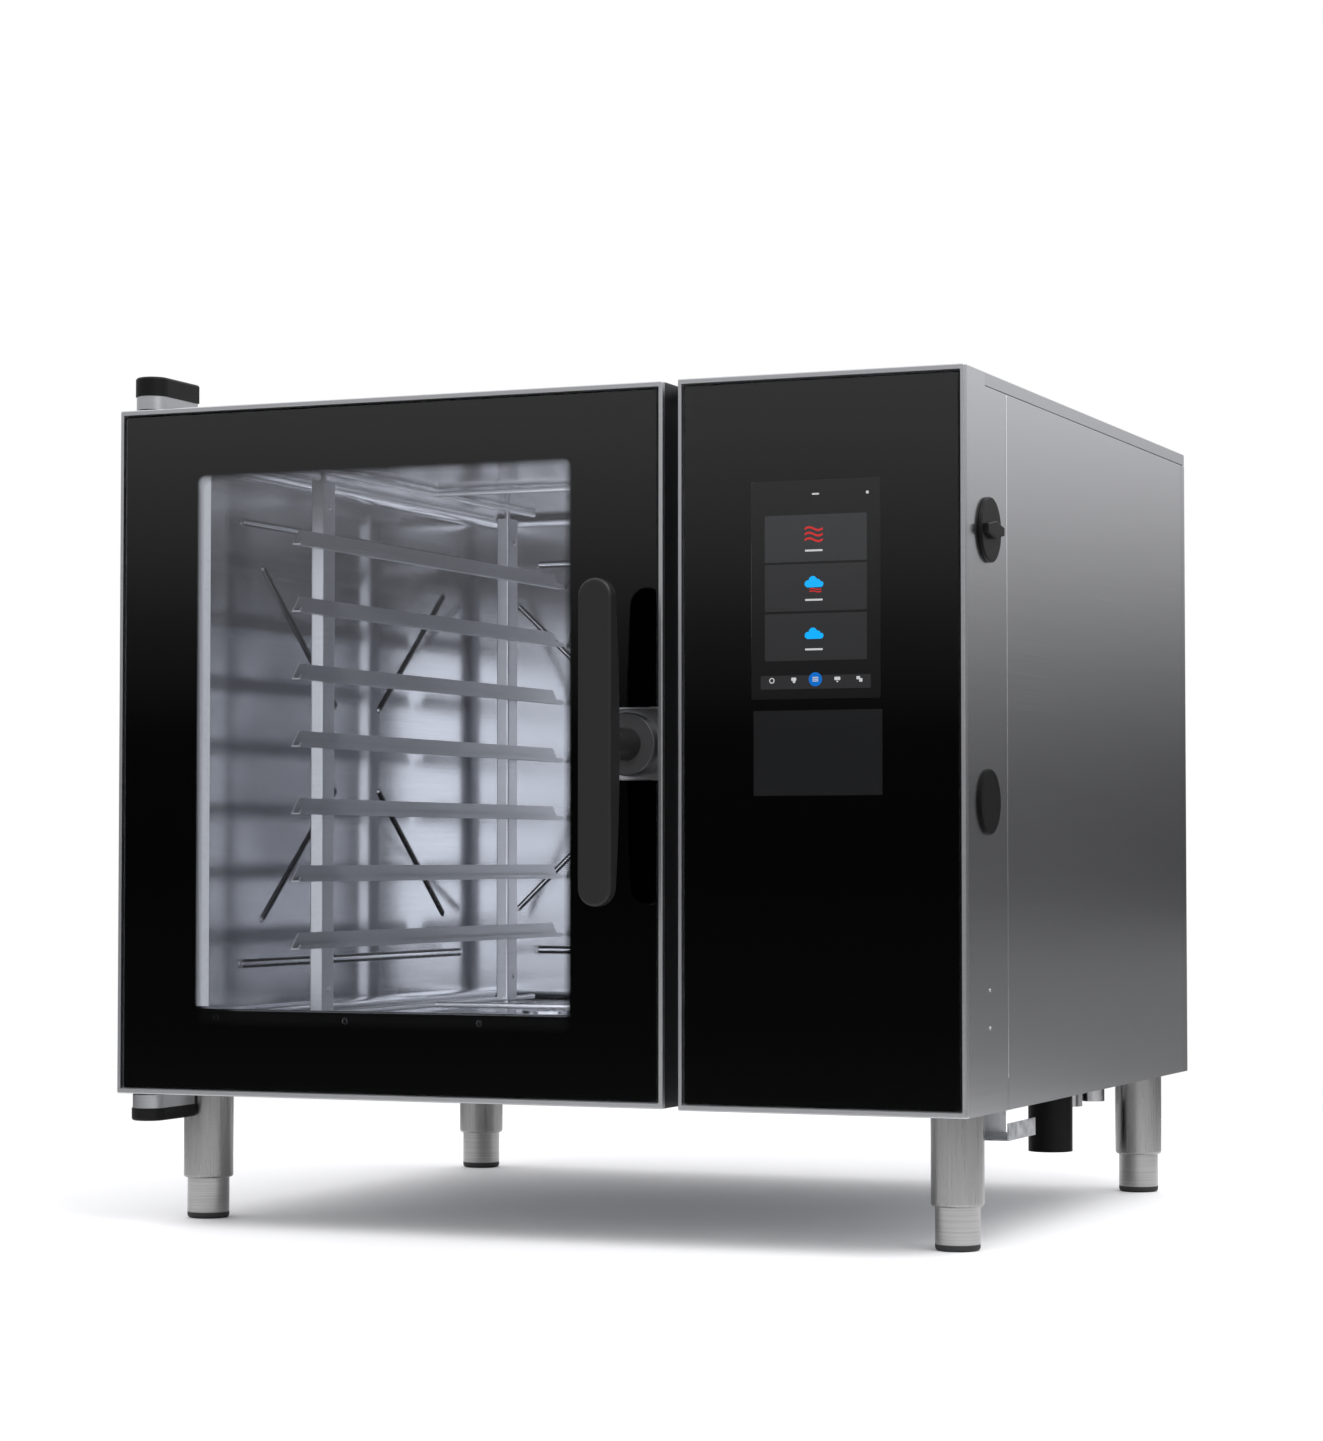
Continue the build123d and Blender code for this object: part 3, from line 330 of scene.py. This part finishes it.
def galvanised_steel():
    """Zinc-coated sheet with its spangle."""
    finish = Finish("galvanised_steel", (0.42, 0.43, 0.44), 1.0, 0.45)
    spangle = finish.cells((90, 90, 90))
    finish.tint(finish.ranged(spangle, 0.0, 1.0, 0.1, 0.8), (0.34, 0.35, 0.37), (0.52, 0.53, 0.55))
    finish.polish(spangle, 0.35, 0.55)
    return finish.material


def leg_steel(pad_top):
    """Ground leg tube above pad_top, in metres, and a black rubber pad below it."""
    finish = Finish("leg_steel", (0.32, 0.317, 0.313), 1.0, 0.28, anisotropic=0.5)
    above = finish.step("Z", pad_top, 0.0004)
    rings = finish.noise((6, 6, 1500), 3.0)
    ground = finish.mix(finish.ranged(rings, 0.0, 1.0, 0.3, 0.7), (0.33, 0.325, 0.325), (0.44, 0.435, 0.43))
    finish.link(finish.mix(above, (0.012, 0.012, 0.013), ground), finish.shader.inputs["Base Color"])
    finish.link(above, finish.shader.inputs["Metallic"])
    finish.link(finish.ranged(above, 0.6, 0.28), finish.shader.inputs["Roughness"])
    finish.emboss(rings, 0.00002)
    return finish.material


def door_steel_with_painted_shade(bezel_back):
    """Satin bezel in front of bezel_back, a depth in metres, and behind it sheet painted near black as
    painted shade in the gap.
    """
    satin_grey = (0.6, 0.605, 0.615)
    finish = Finish("door_steel_with_painted_shade", satin_grey, 1.0, 0.32, anisotropic=0.3, anisotropic_rotation=0.25)
    behind = finish.step("Y", bezel_back, 0.0002)
    lines = finish.noise((5, 5, 900), 4.0)
    satin = finish.mix(finish.ranged(lines, 0.0, 1.0, 0.3, 0.7), (0.44, 0.445, 0.455), (0.5, 0.505, 0.515))
    # Painted shade: behind the bezel the frame is near black, as in the shaded gap beside the door.
    finish.link(finish.mix(behind, satin, (0.035, 0.035, 0.037)), finish.shader.inputs["Base Color"])
    finish.link(finish.ranged(behind, 0.32, 0.45), finish.shader.inputs["Roughness"])
    finish.emboss(lines, 0.000004)
    return finish.material


def heater_steel():
    """Tubular heater sheath, dark with heat scale."""
    finish = Finish("heater_steel", (0.09, 0.085, 0.08), 0.8, 0.5)
    scale = finish.noise((160, 160, 160), 5.0)
    finish.tint(scale, (0.05, 0.045, 0.05), (0.16, 0.14, 0.12))
    finish.polish(scale, 0.4, 0.65)
    finish.emboss(scale, 0.0001)
    return finish.material


def cast_aluminium():
    """Rough motor casting."""
    finish = Finish("cast_aluminium", (0.5, 0.5, 0.5), 0.9, 0.5)
    grain = finish.noise((700, 700, 700), 5.0)
    finish.tint(grain, (0.42, 0.42, 0.43), (0.6, 0.6, 0.6))
    finish.polish(grain, 0.42, 0.6)
    finish.emboss(grain, 0.00015)
    return finish.material


def clear_glass(name, tint):
    """Thin clear sheet: a Fresnel mix of tinted transparency and a mirror with faint smears."""
    finish = Finish(name, (1.0, 1.0, 1.0), 1.0, 0.02)
    smears = finish.noise((9, 9, 14), 4.0)
    finish.polish(smears, 0.01, 0.05)
    finish.see_through(tint)
    return finish.material


def black_print():
    """Ceramic print fired on the back of the glass."""
    finish = Finish("black_print", (0.001, 0.001, 0.001), 0.0, 0.6, specular_ior_level=0.0)
    mottle = finish.noise((600, 600, 600), 3.0)
    finish.tint(mottle, (0.0008, 0.0008, 0.0008), (0.0014, 0.0014, 0.0015))
    finish.polish(mottle, 0.5, 0.7)
    return finish.material


def moulded(name, colour, roughness, grain=900, gloss=0.5):
    """Plastic, rubber or coated metal with a fine spark-eroded texture; grain is in cells per metre."""
    finish = Finish(name, colour, 0.0, roughness, specular_ior_level=gloss)
    skin = finish.noise((grain, grain, grain), 4.0)
    broad = finish.noise((14, 14, 14), 3.0)
    finish.tint(broad, [channel * 0.82 for channel in colour], [channel * 1.2 for channel in colour])
    finish.polish(skin, roughness - 0.08, roughness + 0.08)
    finish.emboss(skin, 0.00006)
    return finish.material


def mineral_wool():
    """Fibrous insulation slab."""
    finish = Finish("mineral_wool", (0.5, 0.42, 0.26), 0.0, 0.95)
    fibre = finish.noise((120, 500, 120), 6.0, 0.7)
    finish.tint(fibre, (0.36, 0.29, 0.16), (0.66, 0.57, 0.38))
    finish.polish(fibre, 0.85, 1.0)
    finish.emboss(fibre, 0.002)
    return finish.material


def circuit_board():
    """Green board with paler tracks."""
    finish = Finish("circuit_board", (0.01, 0.11, 0.05), 0.0, 0.4)
    tracks = finish.cells((220, 220, 220), "DISTANCE_TO_EDGE")
    finish.tint(finish.ranged(tracks, 0.0, 1.0, 0.02, 0.08), (0.02, 0.2, 0.09), (0.006, 0.075, 0.03))
    finish.polish(tracks, 0.3, 0.5)
    finish.emboss(tracks, 0.0001)
    return finish.material


def lit(name, colour, strength, cell=2200.0, contrast=0.06):
    """A self-lit surface with a faint grain of picture elements."""
    finish = Finish(name, [channel * 0.1 for channel in colour], 0.0, 0.4, specular_ior_level=0.1)
    grain = finish.cells((cell, cell, cell))
    dim = [channel * (1 - contrast) for channel in colour]
    finish.link(finish.mix(grain, colour, dim), finish.shader.inputs["Emission Color"])
    finish.set("Emission Strength", strength)
    finish.polish(grain, 0.35, 0.45)
    return finish.material


# ------------------------------------------------------------------ studio
def camera():
    """The main view, from the front right and a little below the middle of the oven."""
    yaw, pitch = math.radians(CAMERA_YAW), math.radians(CAMERA_PITCH)
    look = Vector((-math.sin(yaw) * math.cos(pitch), math.cos(yaw) * math.cos(pitch), math.sin(pitch)))
    data = bpy.data.cameras.new("camera")
    data.lens = CAMERA_LENS
    data.sensor_width = 36.0
    item = bpy.data.objects.new("camera", data)
    bpy.context.scene.collection.objects.link(item)
    item.location = oven(*CAMERA_AT)
    item.rotation_mode = "QUATERNION"
    item.rotation_quaternion = look.to_track_quat("-Z", "Y")
    bpy.context.scene.camera = item


def floor():
    """Pale round floor that fades out at its edge."""
    finish = Finish("studio_floor", (0.86, 0.86, 0.86), 0.0, 0.7)
    finish.tint(finish.noise((3, 3, 3), 2.0), (0.84, 0.84, 0.84), (0.88, 0.88, 0.88))
    coordinates = finish.add("ShaderNodeTexCoord")
    length = finish.add("ShaderNodeVectorMath", operation="LENGTH")
    finish.link(coordinates.outputs["Object"], length.inputs[0])
    shown = finish.ranged(length.outputs["Value"], 1.0, 0.0, FLOOR_RADIUS * 0.45, FLOOR_RADIUS * 0.98)
    finish.link(shown, finish.shader.inputs["Alpha"])
    shape = bmesh.new()
    bmesh.ops.create_circle(shape, cap_ends=True, segments=96, radius=FLOOR_RADIUS)
    mesh = bpy.data.meshes.new("studio_floor")
    shape.to_mesh(mesh)
    shape.free()
    item = bpy.data.objects.new("studio_floor", mesh)
    mesh.materials.append(finish.material)
    bpy.context.scene.collection.objects.link(item)


def surroundings():
    """White behind the oven; for light, a room that is dark near the floor and bright overhead."""
    world = bpy.data.worlds.new("studio")
    bpy.context.scene.world = world
    world.use_nodes = True
    tree = world.node_tree
    room = tree.nodes["Background"]
    coordinates = tree.nodes.new("ShaderNodeTexCoord")
    split = tree.nodes.new("ShaderNodeSeparateXYZ")
    tree.links.new(coordinates.outputs["Generated"], split.inputs["Vector"])
    ramp = tree.nodes.new("ShaderNodeMapRange")
    ramp.inputs["From Min"].default_value = ROOM_BOTTOM
    ramp.inputs["From Max"].default_value = ROOM_TOP
    tree.links.new(split.outputs["Z"], ramp.inputs["Value"])
    levels = tree.nodes.new("ShaderNodeValToRGB")
    tree.links.new(ramp.outputs["Result"], levels.inputs["Fac"])
    steps = levels.color_ramp.elements
    for height, level in ROOM_LEVELS:
        place = (height - ROOM_BOTTOM) / (ROOM_TOP - ROOM_BOTTOM)
        if 0 < place < 1:
            stop = steps.new(place)
        else:
            stop = steps[0 if place <= 0 else -1]
        stop.color = (level, level, level * 1.02, 1.0)
    tree.links.new(levels.outputs["Color"], room.inputs["Color"])
    white = tree.nodes.new("ShaderNodeBackground")
    white.inputs["Color"].default_value = (1.0, 1.0, 1.0, 1.0)
    path = tree.nodes.new("ShaderNodeLightPath")
    mix = tree.nodes.new("ShaderNodeMixShader")
    tree.links.new(path.outputs["Is Camera Ray"], mix.inputs["Fac"])
    tree.links.new(room.outputs["Background"], mix.inputs[1])
    tree.links.new(white.outputs["Background"], mix.inputs[2])
    tree.links.new(mix.outputs["Shader"], tree.nodes["World Output"].inputs["Surface"])


def area_light(name, place, target, width, height, watts, colour=(1.0, 1.0, 1.0)):
    """A soft rectangular light at place that faces target and that the camera doesn't see."""
    data = bpy.data.lights.new(name, "AREA")
    data.shape = "RECTANGLE"
    data.size = width
    data.size_y = height
    data.energy = watts
    data.color = colour
    item = bpy.data.objects.new(name, data)
    bpy.context.scene.collection.objects.link(item)
    item.location = place
    item.rotation_mode = "QUATERNION"
    item.rotation_quaternion = (Vector(target) - Vector(place)).to_track_quat("-Z", "Y")
    item.visible_camera = False


def studio():
    """Camera, floor and lights: a softbox above, a low card behind, and two lamps in the oven."""
    bpy.context.scene.view_settings.view_transform = "Standard"
    camera()
    floor()
    surroundings()
    area_light("key_softbox", KEY_AT, KEY_AIM, 1.8, 1.8, 45)
    back = Vector((0, 1, 0))
    mouth = oven(*LAMP_AT)
    middle = oven(*FILL_AT)
    area_light("oven_lamp", mouth, mouth + back, 0.47, 0.5, 0.7, LAMP_COLOUR)
    area_light("oven_fill", middle, middle + back, 0.32, 0.46, 1.35, LAMP_COLOUR)
    area_light("low_card", CARD_AT, CARD_AIM, 3.0, 0.55, 0.65)


# ------------------------------------------------------------------ finishes on the CAD frame
def paint(material, *names):
    """Gives CAD nodes a better material."""
    for name in names:
        slots = nodes[name].data.materials
        slots.clear()
        slots.append(material)


def paint_casing():
    """Brushed sheet, satin edges and the door's frame: satin bezel in front, painted shade behind it."""
    side = steel("brushed_side", (0.56, 0.565, 0.58), 0.22, (4, 4, 2200))
    cover = steel("brushed_cover", (0.56, 0.565, 0.58), 0.3, (4, 2200, 2200))
    trim = steel("satin_trim", (0.47, 0.475, 0.485), 0.3, (5, 5, 900), 0.06, 0.3)
    paint(side, "left_side_panel", "right_side_panel", "rear_panel", "control_housing")
    paint(door_steel_with_painted_shade(door_corner.y + BEZEL_DEPTH), "door_frame")
    paint(cover, "top_cover", "front_frame")
    paint(trim, "control_bezel", "handle_recess", "hinge_brackets", "panel_screws")


def paint_cavity():
    """Polished walls with long soft reflections, and the duller racks, whose posts carry painted light."""
    inside = steel("cavity_wall", (0.53, 0.535, 0.555), 0.12, (3, 3, 700), 0.06, 0.9)
    inside_flat = steel("cavity_flat", (0.55, 0.555, 0.575), 0.15, (3, 700, 3), 0.06, 0.8)
    paint(inside, "cavity_left_wall", "cavity_right_wall", "cavity_back_wall", "air_baffle")
    paint(inside_flat, "cavity_floor", "cavity_ceiling", "drain_strainer", "door_liner")
    rack = steel("rack_steel", (0.56, 0.565, 0.58), 0.45, (3, 3, 900), 0.08, 0.3)
    # Painted light: the posts get a brighter copy of the rack steel, so their fronts read as lit.
    post = steel("rack_post_painted_light", (0.78, 0.785, 0.805), 0.45, (3, 3, 900), 0.08, 0.3)
    paint(rack, "rack_runners", "steam_injector")
    paint(post, "rack_frames")


def paint_metalwork():
    """Turned, galvanised, ground and cast metal."""
    turned_steel = steel("turned_steel", (0.58, 0.58, 0.59), 0.25, (900, 900, 8), 0.08, 0.4)
    paint(turned_steel, "handle_spindle", "latch_cam", "fan_shaft", "door_hinge_pins", "latch_receiver",
          "water_inlets", "steam_vent", "fan_wheel")
    paint(galvanised_steel(), "base_pan", "drain_box", "power_unit", "cooling_fan_frame")
    paint(leg_steel(PAD_TOP), "foot_front_left", "foot_front_right", "foot_rear_left", "foot_rear_right")
    paint(steel("leg_sleeve_steel", (0.34, 0.337, 0.333), 0.28, (700, 700, 12), 0.06, 0.5), "leg_sleeves")
    paint(heater_steel(), "heating_element")
    paint(cast_aluminium(), "fan_motor")


def paint_glass_and_plastic():
    """Glass, plastic, rubber, insulation, the board and the door's lamp strip."""
    paint(clear_glass("outer_glass", (0.86, 0.868, 0.885)), "door_outer_glass", "control_glass")
    paint(clear_glass("inner_glass", (0.95, 0.955, 0.96)), "door_inner_glass")
    paint(moulded("black_plastic", (0.005, 0.005, 0.0053), 0.45, gloss=0.14), "side_knob", "hinge_caps",
          "cable_gland", "drain_pipe", "cooling_fan_rotor", "glass_rail")
    paint(moulded("blackened_screw", (0.02, 0.02, 0.021), 0.3), "glass_rail_screws")
    paint(moulded("plug_rubber", (0.005, 0.005, 0.005), 0.6, 700, 0.06), "side_cap")
    paint(moulded("grip_plastic", (0.011, 0.011, 0.0115), 0.42, 1200, 0.3), "handle_grip")
    paint(moulded("boss_metal", (0.05, 0.05, 0.052), 0.35, 800), "handle_boss")
    paint(moulded("seal_rubber", (0.03, 0.03, 0.032), 0.65, 400), "door_gasket")
    paint(mineral_wool(), "insulation")
    paint(circuit_board(), "control_board")
    paint(moulded("display_body", (0.0035, 0.0036, 0.0038), 0.5), "touch_display")
    paint(lit("lamp_lens", (0.64, 0.66, 0.7), 0.95, 300.0, 0.15), "door_light_strip")


# ------------------------------------------------------------------ fine pieces
def ridge(name, start, end, out, half_width, height, finish):
    """A long low dome with round ends, lying on a surface from start to end, in oven millimetres."""
    a, b = oven(*start), oven(*end)
    run, out = (b - a).normalized(), Vector(out)
    across = run.cross(out)
    wide, high = half_width / 1000, height / 1000
    quarter = [math.radians(15 * i) for i in range(7)]
    stations = [(a + run * wide * (1 - math.cos(t)), math.sin(t)) for t in quarter]
    stations += [(b - run * wide * (1 - math.cos(t)), math.sin(t)) for t in reversed(quarter)]
    strips = 8
    turns = [math.pi * i / strips for i in range(strips + 1)]
    shape = bmesh.new()
    rows = []
    for centre, scale in stations:
        rows.append([
            shape.verts.new(centre + across * wide * scale * math.cos(t) + out * high * scale * math.sin(t))
            for t in turns
        ])
    for near, far in zip(rows, rows[1:]):
        for i in range(strips):
            shape.faces.new((near[i], near[i + 1], far[i + 1], far[i]))
    bmesh.ops.remove_doubles(shape, verts=shape.verts, dist=1e-7)
    bmesh.ops.recalc_face_normals(shape, faces=shape.faces)
    for face in shape.faces:
        face.smooth = True
    mesh = bpy.data.meshes.new(name)
    shape.to_mesh(mesh)
    shape.free()
    piece(name, mesh, finish, "cabinet")


def crossed_beads(crown):
    """Dark crowns of the four diagonal beads in the left wall: painted dark reflection on the beads."""
    for side, hand in ((-1, "front"), (1, "rear")):
        for level, height in ((-1, "low"), (1, "high")):
            start = (LEFT_WALL_X, LEFT_BEAD_Y + 221 * side, BEAD_Z + 190 * level)
            end = (LEFT_WALL_X, LEFT_BEAD_Y + 53 * side, BEAD_Z + 47 * level)
            ridge(f"bead_crown_{hand}_{height}", start, end, (1, 0, 0), 2.7, 0.6, crown)


def level_beads(level, height, crown, bright):
    """The level beads of the left and back walls: a bright crown of painted highlight between two dark
    edges of painted dark reflection.
    """
    left_z = BEAD_Z + 236.5 * level
    back_z = left_z - 1.5 * level
    for name, wide, high, finish in (("edge", 4.4, 0.5, crown), ("crown", 2.0, 0.9, bright)):
        start = (LEFT_WALL_X, LEFT_BEAD_Y - 268, left_z)
        end = (LEFT_WALL_X, LEFT_BEAD_Y + 268, left_z)
        ridge(f"side_bead_{name}_{height}", start, end, (1, 0, 0), wide, high, finish)
        start = (BACK_BEAD_X - 210, BACK_WALL_Y, back_z)
        end = (BACK_BEAD_X + 210, BACK_WALL_Y, back_z)
        ridge(f"back_bead_{name}_{height}", start, end, (0, -1, 0), wide, high, finish)


def back_cross_beads(level, height, crown, bright):
    """The two diagonal beads of the back wall at one level: dark edges of painted dark reflection under a
    bright crown of painted highlight.
    """
    for side, hand in ((-1, "left"), (1, "right")):
        start = (BACK_BEAD_X + 236 * side, BACK_WALL_Y, BEAD_Z + 185 * level)
        end = (BACK_BEAD_X + 80 * side, BACK_WALL_Y, BEAD_Z + 40 * level)
        ridge(f"back_cross_edge_{hand}_{height}", start, end, (0, -1, 0), 3.0, 0.4, crown)
        ridge(f"back_cross_crown_{hand}_{height}", start, end, (0, -1, 0), 1.4, 0.8, bright)


def rack_rivets(finish):
    """Rivet heads at the top and bottom of each rack post."""
    dome = [(0.0, 1.2), (1.6, 1.0), (2.7, 0.4), (3.0, 0.0)]
    for depth, y in RIVET_Y:
        for height, z in RIVET_Z:
            for hand, x, way in RIVET_X:
                name = f"rack_rivet_{depth}_{height}_{hand}"
                turned(name, dome, oven(x, y, z), (way, 0, 0), finish, "cabinet")


def rail_screw_rings(finish):
    """Bright rings on the faces of the glass rail's screws: painted highlight of the screw heads' rims."""
    ring = [(2.2, 0.0), (2.4, 0.35), (2.9, 0.35), (3.1, 0.0)]
    for number, x in enumerate(RAIL_SCREWS, 1):
        place = oven(x, SCREW_FACE, RAIL_SCREW_Z)
        turned(f"rail_screw_ring_{number}", ring, place, (0, -1, 0), finish, "door")


def panel_hem():
    """Folded hem that runs down the right side panel, in steel painted brighter than the panel as the
    highlight the fold catches.
    """
    x, y, low, high = HEM
    # Painted highlight: the hem's steel is much brighter than the side panel's.
    hem = steel("hem_steel_painted_highlight", (0.86, 0.865, 0.87), 0.2, (5, 5, 300))
    ridge("side_panel_hem", (x, y, low), (x, y, high), (1, 0, 0), 0.7, 0.4, hem)


def rail_edge():
    """Thin bright strip along the top of the glass rail: a painted highlight of its top edge."""
    x0, x1, z0, z1 = RAIL_TOP
    # Painted highlight: bright steel laid on the black rail's top edge.
    edge = steel("rail_edge_painted_highlight", (0.7, 0.705, 0.715), 0.2, (300, 5, 5))
    strip = [(x0, z0), (x1, z0), (x1, z1), (x0, z1)]
    plate("rail_edge", [strip], RAIL_FRONT, RAIL_FRONT + 0.5, edge, "door")


def fine_pieces():
    """Beads, rivets, screw rings, the hem and the rail's edge."""
    # Painted dark reflection: near-black strips on the bead crowns and edges.
    crown = moulded("bead_painted_dark_reflection", (0.012, 0.012, 0.013), 0.25, 500, 0.4)
    crossed_beads(crown)
    # Painted highlight: steel much brighter than the walls, on the crowns of the level and back beads.
    bright = steel("bead_painted_highlight", (0.85, 0.86, 0.88), 0.25, (3, 3, 300))
    for level, height in ((-1, "low"), (1, "high")):
        level_beads(level, height, crown, bright)
        back_cross_beads(level, height, crown, bright)
    rivet = steel("rivet_steel", (0.85, 0.86, 0.88), 0.22, (400, 400, 400))
    rack_rivets(rivet)
    # The rail screw rings reuse the rivets' bright steel as a painted highlight.
    rail_screw_rings(rivet)
    panel_hem()
    rail_edge()


# ------------------------------------------------------------------ printed glass
def notched(box, corner):
    """Outline of the door's glass, with the round notch for the handle cut in from the right."""
    x0, x1, z0, z1 = box
    x, z, radius = NOTCH
    outline = arc((x1 - corner, z0 + corner), corner, -90, 0, 4)
    outline += [(x1, z - radius)] + arc((x, z), radius, 270, 90, 24) + [(x1, z + radius)]
    outline += arc((x1 - corner, z1 - corner), corner, 0, 90, 4)
    outline += arc((x0 + corner, z1 - corner), corner, 90, 180, 4)
    return outline + arc((x0 + corner, z0 + corner), corner, 180, 270, 4)


def along(outline, pitch):
    """Evenly spaced points along a closed outline."""
    spots = []
    carry = 0.0
    for (xa, za), (xb, zb) in zip(outline, outline[1:] + outline[:1]):
        length = math.hypot(xb - xa, zb - za)
        while carry < length:
            spots.append((xa + (xb - xa) * carry / length, za + (zb - za) * carry / length))
            carry += pitch
        carry -= length
    return spots


def halftone(finish):
    """Rows of printed dots that shrink inwards round the door's window."""
    shape = bmesh.new()
    depth = (PRINT_FRONT + PRINT_BACK) / 2
    for row in range(DOT_ROWS):
        radius = DOT_PITCH * (0.56 - 0.08 * row)
        step = DOT_PITCH * 0.85 * (row + 0.35)
        loop = rounded(grown(WINDOW, -step), WINDOW_CORNER)
        odd = row % 2
        for centre in along(loop, DOT_PITCH)[odd:]:
            hexagon = arc(centre, radius, 30 * odd, 300 + 30 * odd, 5)
            shape.faces.new([shape.verts.new(oven(x, depth, z)) for x, z in hexagon])
    mesh = bpy.data.meshes.new("window_dots")
    shape.to_mesh(mesh)
    shape.free()
    piece("window_dots", mesh, finish, "door")


def printed_glass():
    """Black print behind both front glasses, round the window and the display."""
    ink = black_print()
    door = grown(front_box("door_outer_glass"), -PRINT_MARGIN)
    window = rounded(WINDOW, WINDOW_CORNER)
    plate("door_print", [notched(door, 2.0), window], PRINT_FRONT, PRINT_BACK, ink, "door")
    halftone(ink)
    column = grown(front_box("control_glass"), -PRINT_MARGIN)
    screen_hole = rounded(DISPLAY, 1.5)
    outlines = [rounded(column, 2.0), screen_hole]
    plate("column_print", outlines, PRINT_FRONT, PRINT_BACK, ink, "cabinet")
    badge = moulded("badge_panel", (0.0085, 0.0085, 0.009), 0.5, 1500)
    plate("badge_panel", [rounded(BADGE, 1.0)], 4.2, 4.5, badge, "cabinet")


# ------------------------------------------------------------------ touch screen
def wave(x, z, width, height, thick):
    """A band that rises, falls and rises once, as on a hot-air symbol."""
    shares = [i / 16 for i in range(17)]
    middle = [(x + width * (share - 0.5), z + height * math.sin(math.tau * share)) for share in shares]
    top = [(px, pz + thick / 2) for px, pz in middle]
    bottom = [(px, pz - thick / 2) for px, pz in reversed(middle)]
    return top + bottom


def cloud(x, z):
    """A cloud about 19 mm wide with a flat base, from four puffs given as centre, radius and arc."""
    puffs = (
        ((-5.8, 3.2), 3.6, 210, 75),
        ((-1.0, 6.4), 4.3, 165, 25),
        ((3.8, 4.6), 3.2, 100, 10),
        ((6.6, 3.0), 3.1, 50, -90),
    )
    outline = []
    for (across, up), radius, start, end in puffs:
        outline += arc((x + across, z + up), radius, start, end, 8)
    return outline + [(x - 6.6, z - 0.2)]


def screen_plate(name, outlines, layer, finish):
    """A screen element; layer counts up from the display's face towards the glass."""
    back = 5.15 - 0.12 * layer
    plate(name, outlines, back - 0.1, back, finish, "cabinet")


def touch_screen():
    """Three tiles with generic icons, over the menu bar."""
    ground = lit("screen_ground", (0.006, 0.006, 0.0063), 1.0)
    grey = lit("screen_tile", (0.029, 0.029, 0.03), 1.0)
    light = lit("screen_tile_lit", (0.036, 0.037, 0.038), 1.0)
    white = lit("screen_white", (0.7, 0.7, 0.7), 1.0)
    red = lit("screen_red", (0.72, 0.022, 0.022), 1.0)
    blue = lit("screen_blue", (0.0, 0.52, 1.15), 1.0)
    button = lit("screen_button", (0.0, 0.17, 0.66), 1.0)
    screen_plate("screen_ground", [rounded(grown(DISPLAY, -0.4), 1.0)], 0, ground)
    for name, top, finish in zip(("hot_air", "combined", "steam"), TILE_TOPS, (light, grey, grey)):
        tile = (*TILE_X, top - TILE_HEIGHT, top)
        screen_plate(f"tile_{name}", [rounded(tile, TILE_CORNER)], 1, finish)
        caption = (ICON_X - 9, ICON_X + 9, top - 35.4, top - 33.6)
        screen_plate(f"caption_{name}", [rounded(caption, 0.8)], 2, white)
    waves = [wave(ICON_X, TILE_TOPS[0] - 13.6 - 5.3 * i, 18.5, 1.5, 2.0) for i in range(3)]
    screen_plate("icon_hot_air", waves, 2, red)
    screen_plate("icon_combined_cloud", [cloud(ICON_X, TILE_TOPS[1] - 22.4)], 2, blue)
    small = [wave(ICON_X + 1.6, TILE_TOPS[1] - 24.2 - 2.3 * i, 12.0, 0.5, 1.1) for i in range(2)]
    screen_plate("icon_combined_waves", small, 2, red)
    screen_plate("icon_steam_cloud", [cloud(ICON_X, TILE_TOPS[2] - 24.4)], 2, blue)
    menu(grey, white, button)


def bar(box, corner):
    """Outline of a small screen mark with few corner points."""
    return rounded(box, corner, 3)


def mark(name, x, sides, levels, corner, layer, finish):
    """A rounded mark of the menu; sides and levels are its edges from the middle of its icon."""
    box = (x + sides[0], x + sides[1], MENU_Z + levels[0], MENU_Z + levels[1])
    screen_plate(name, [bar(box, corner)], layer, finish)


def menu(grey, white, button):
    """Bottom bar with its icons and round middle button, and the status marks at the top."""
    screen_plate("menu_bar", [rounded(MENU_BAR, TILE_CORNER)], 1, grey)
    screen_plate("menu_button", [arc((ICON_X + 1.4, MENU_Z + 0.6), 6.7, 0, 348, 29)], 2, button)
    middle = (ICON_X - 1.6, ICON_X + 4.4)
    lines = [rounded((*middle, z, z + 0.9), 0.3, 2) for z in (546.3, 548.0, 549.7)]
    screen_plate("menu_lines", lines, 3, white)
    power, hand, screen, pages = MENU_ICONS
    rings = [arc((power, MENU_Z), radius, 0, 345, 23) for radius in (2.7, 1.8)]
    screen_plate("menu_power", rings, 2, white)
    mark("menu_wipe", hand, (-2.4, 2.6), (-0.6, 2.6), 0.8, 2, white)
    mark("menu_wipe_stem", hand, (-0.8, 1.6), (-2.6, -0.4), 0.5, 2, white)
    mark("menu_door", screen, (-3.0, 3.0), (-0.6, 2.6), 0.8, 2, white)
    mark("menu_door_foot", screen, (-0.9, 0.9), (-2.4, -1.2), 0.4, 2, white)
    mark("menu_pages", pages, (-3.0, 0.6), (-0.2, 2.8), 0.5, 2, white)
    mark("menu_pages_front", pages, (-0.2, 3.0), (-2.6, 0.8), 0.5, 3, white)
    screen_plate("status_dot", [arc((819.1, STATUS_Z), 1.5, 0, 340, 17)], 1, white)
    screen_plate("status_clock", [bar((763.0, 770.2, STATUS_Z - 0.4, STATUS_Z + 1.2), 0.5)], 1, white)


studio()
paint_casing()
paint_cavity()
paint_metalwork()
paint_glass_and_plastic()
fine_pieces()
printed_glass()
touch_screen()
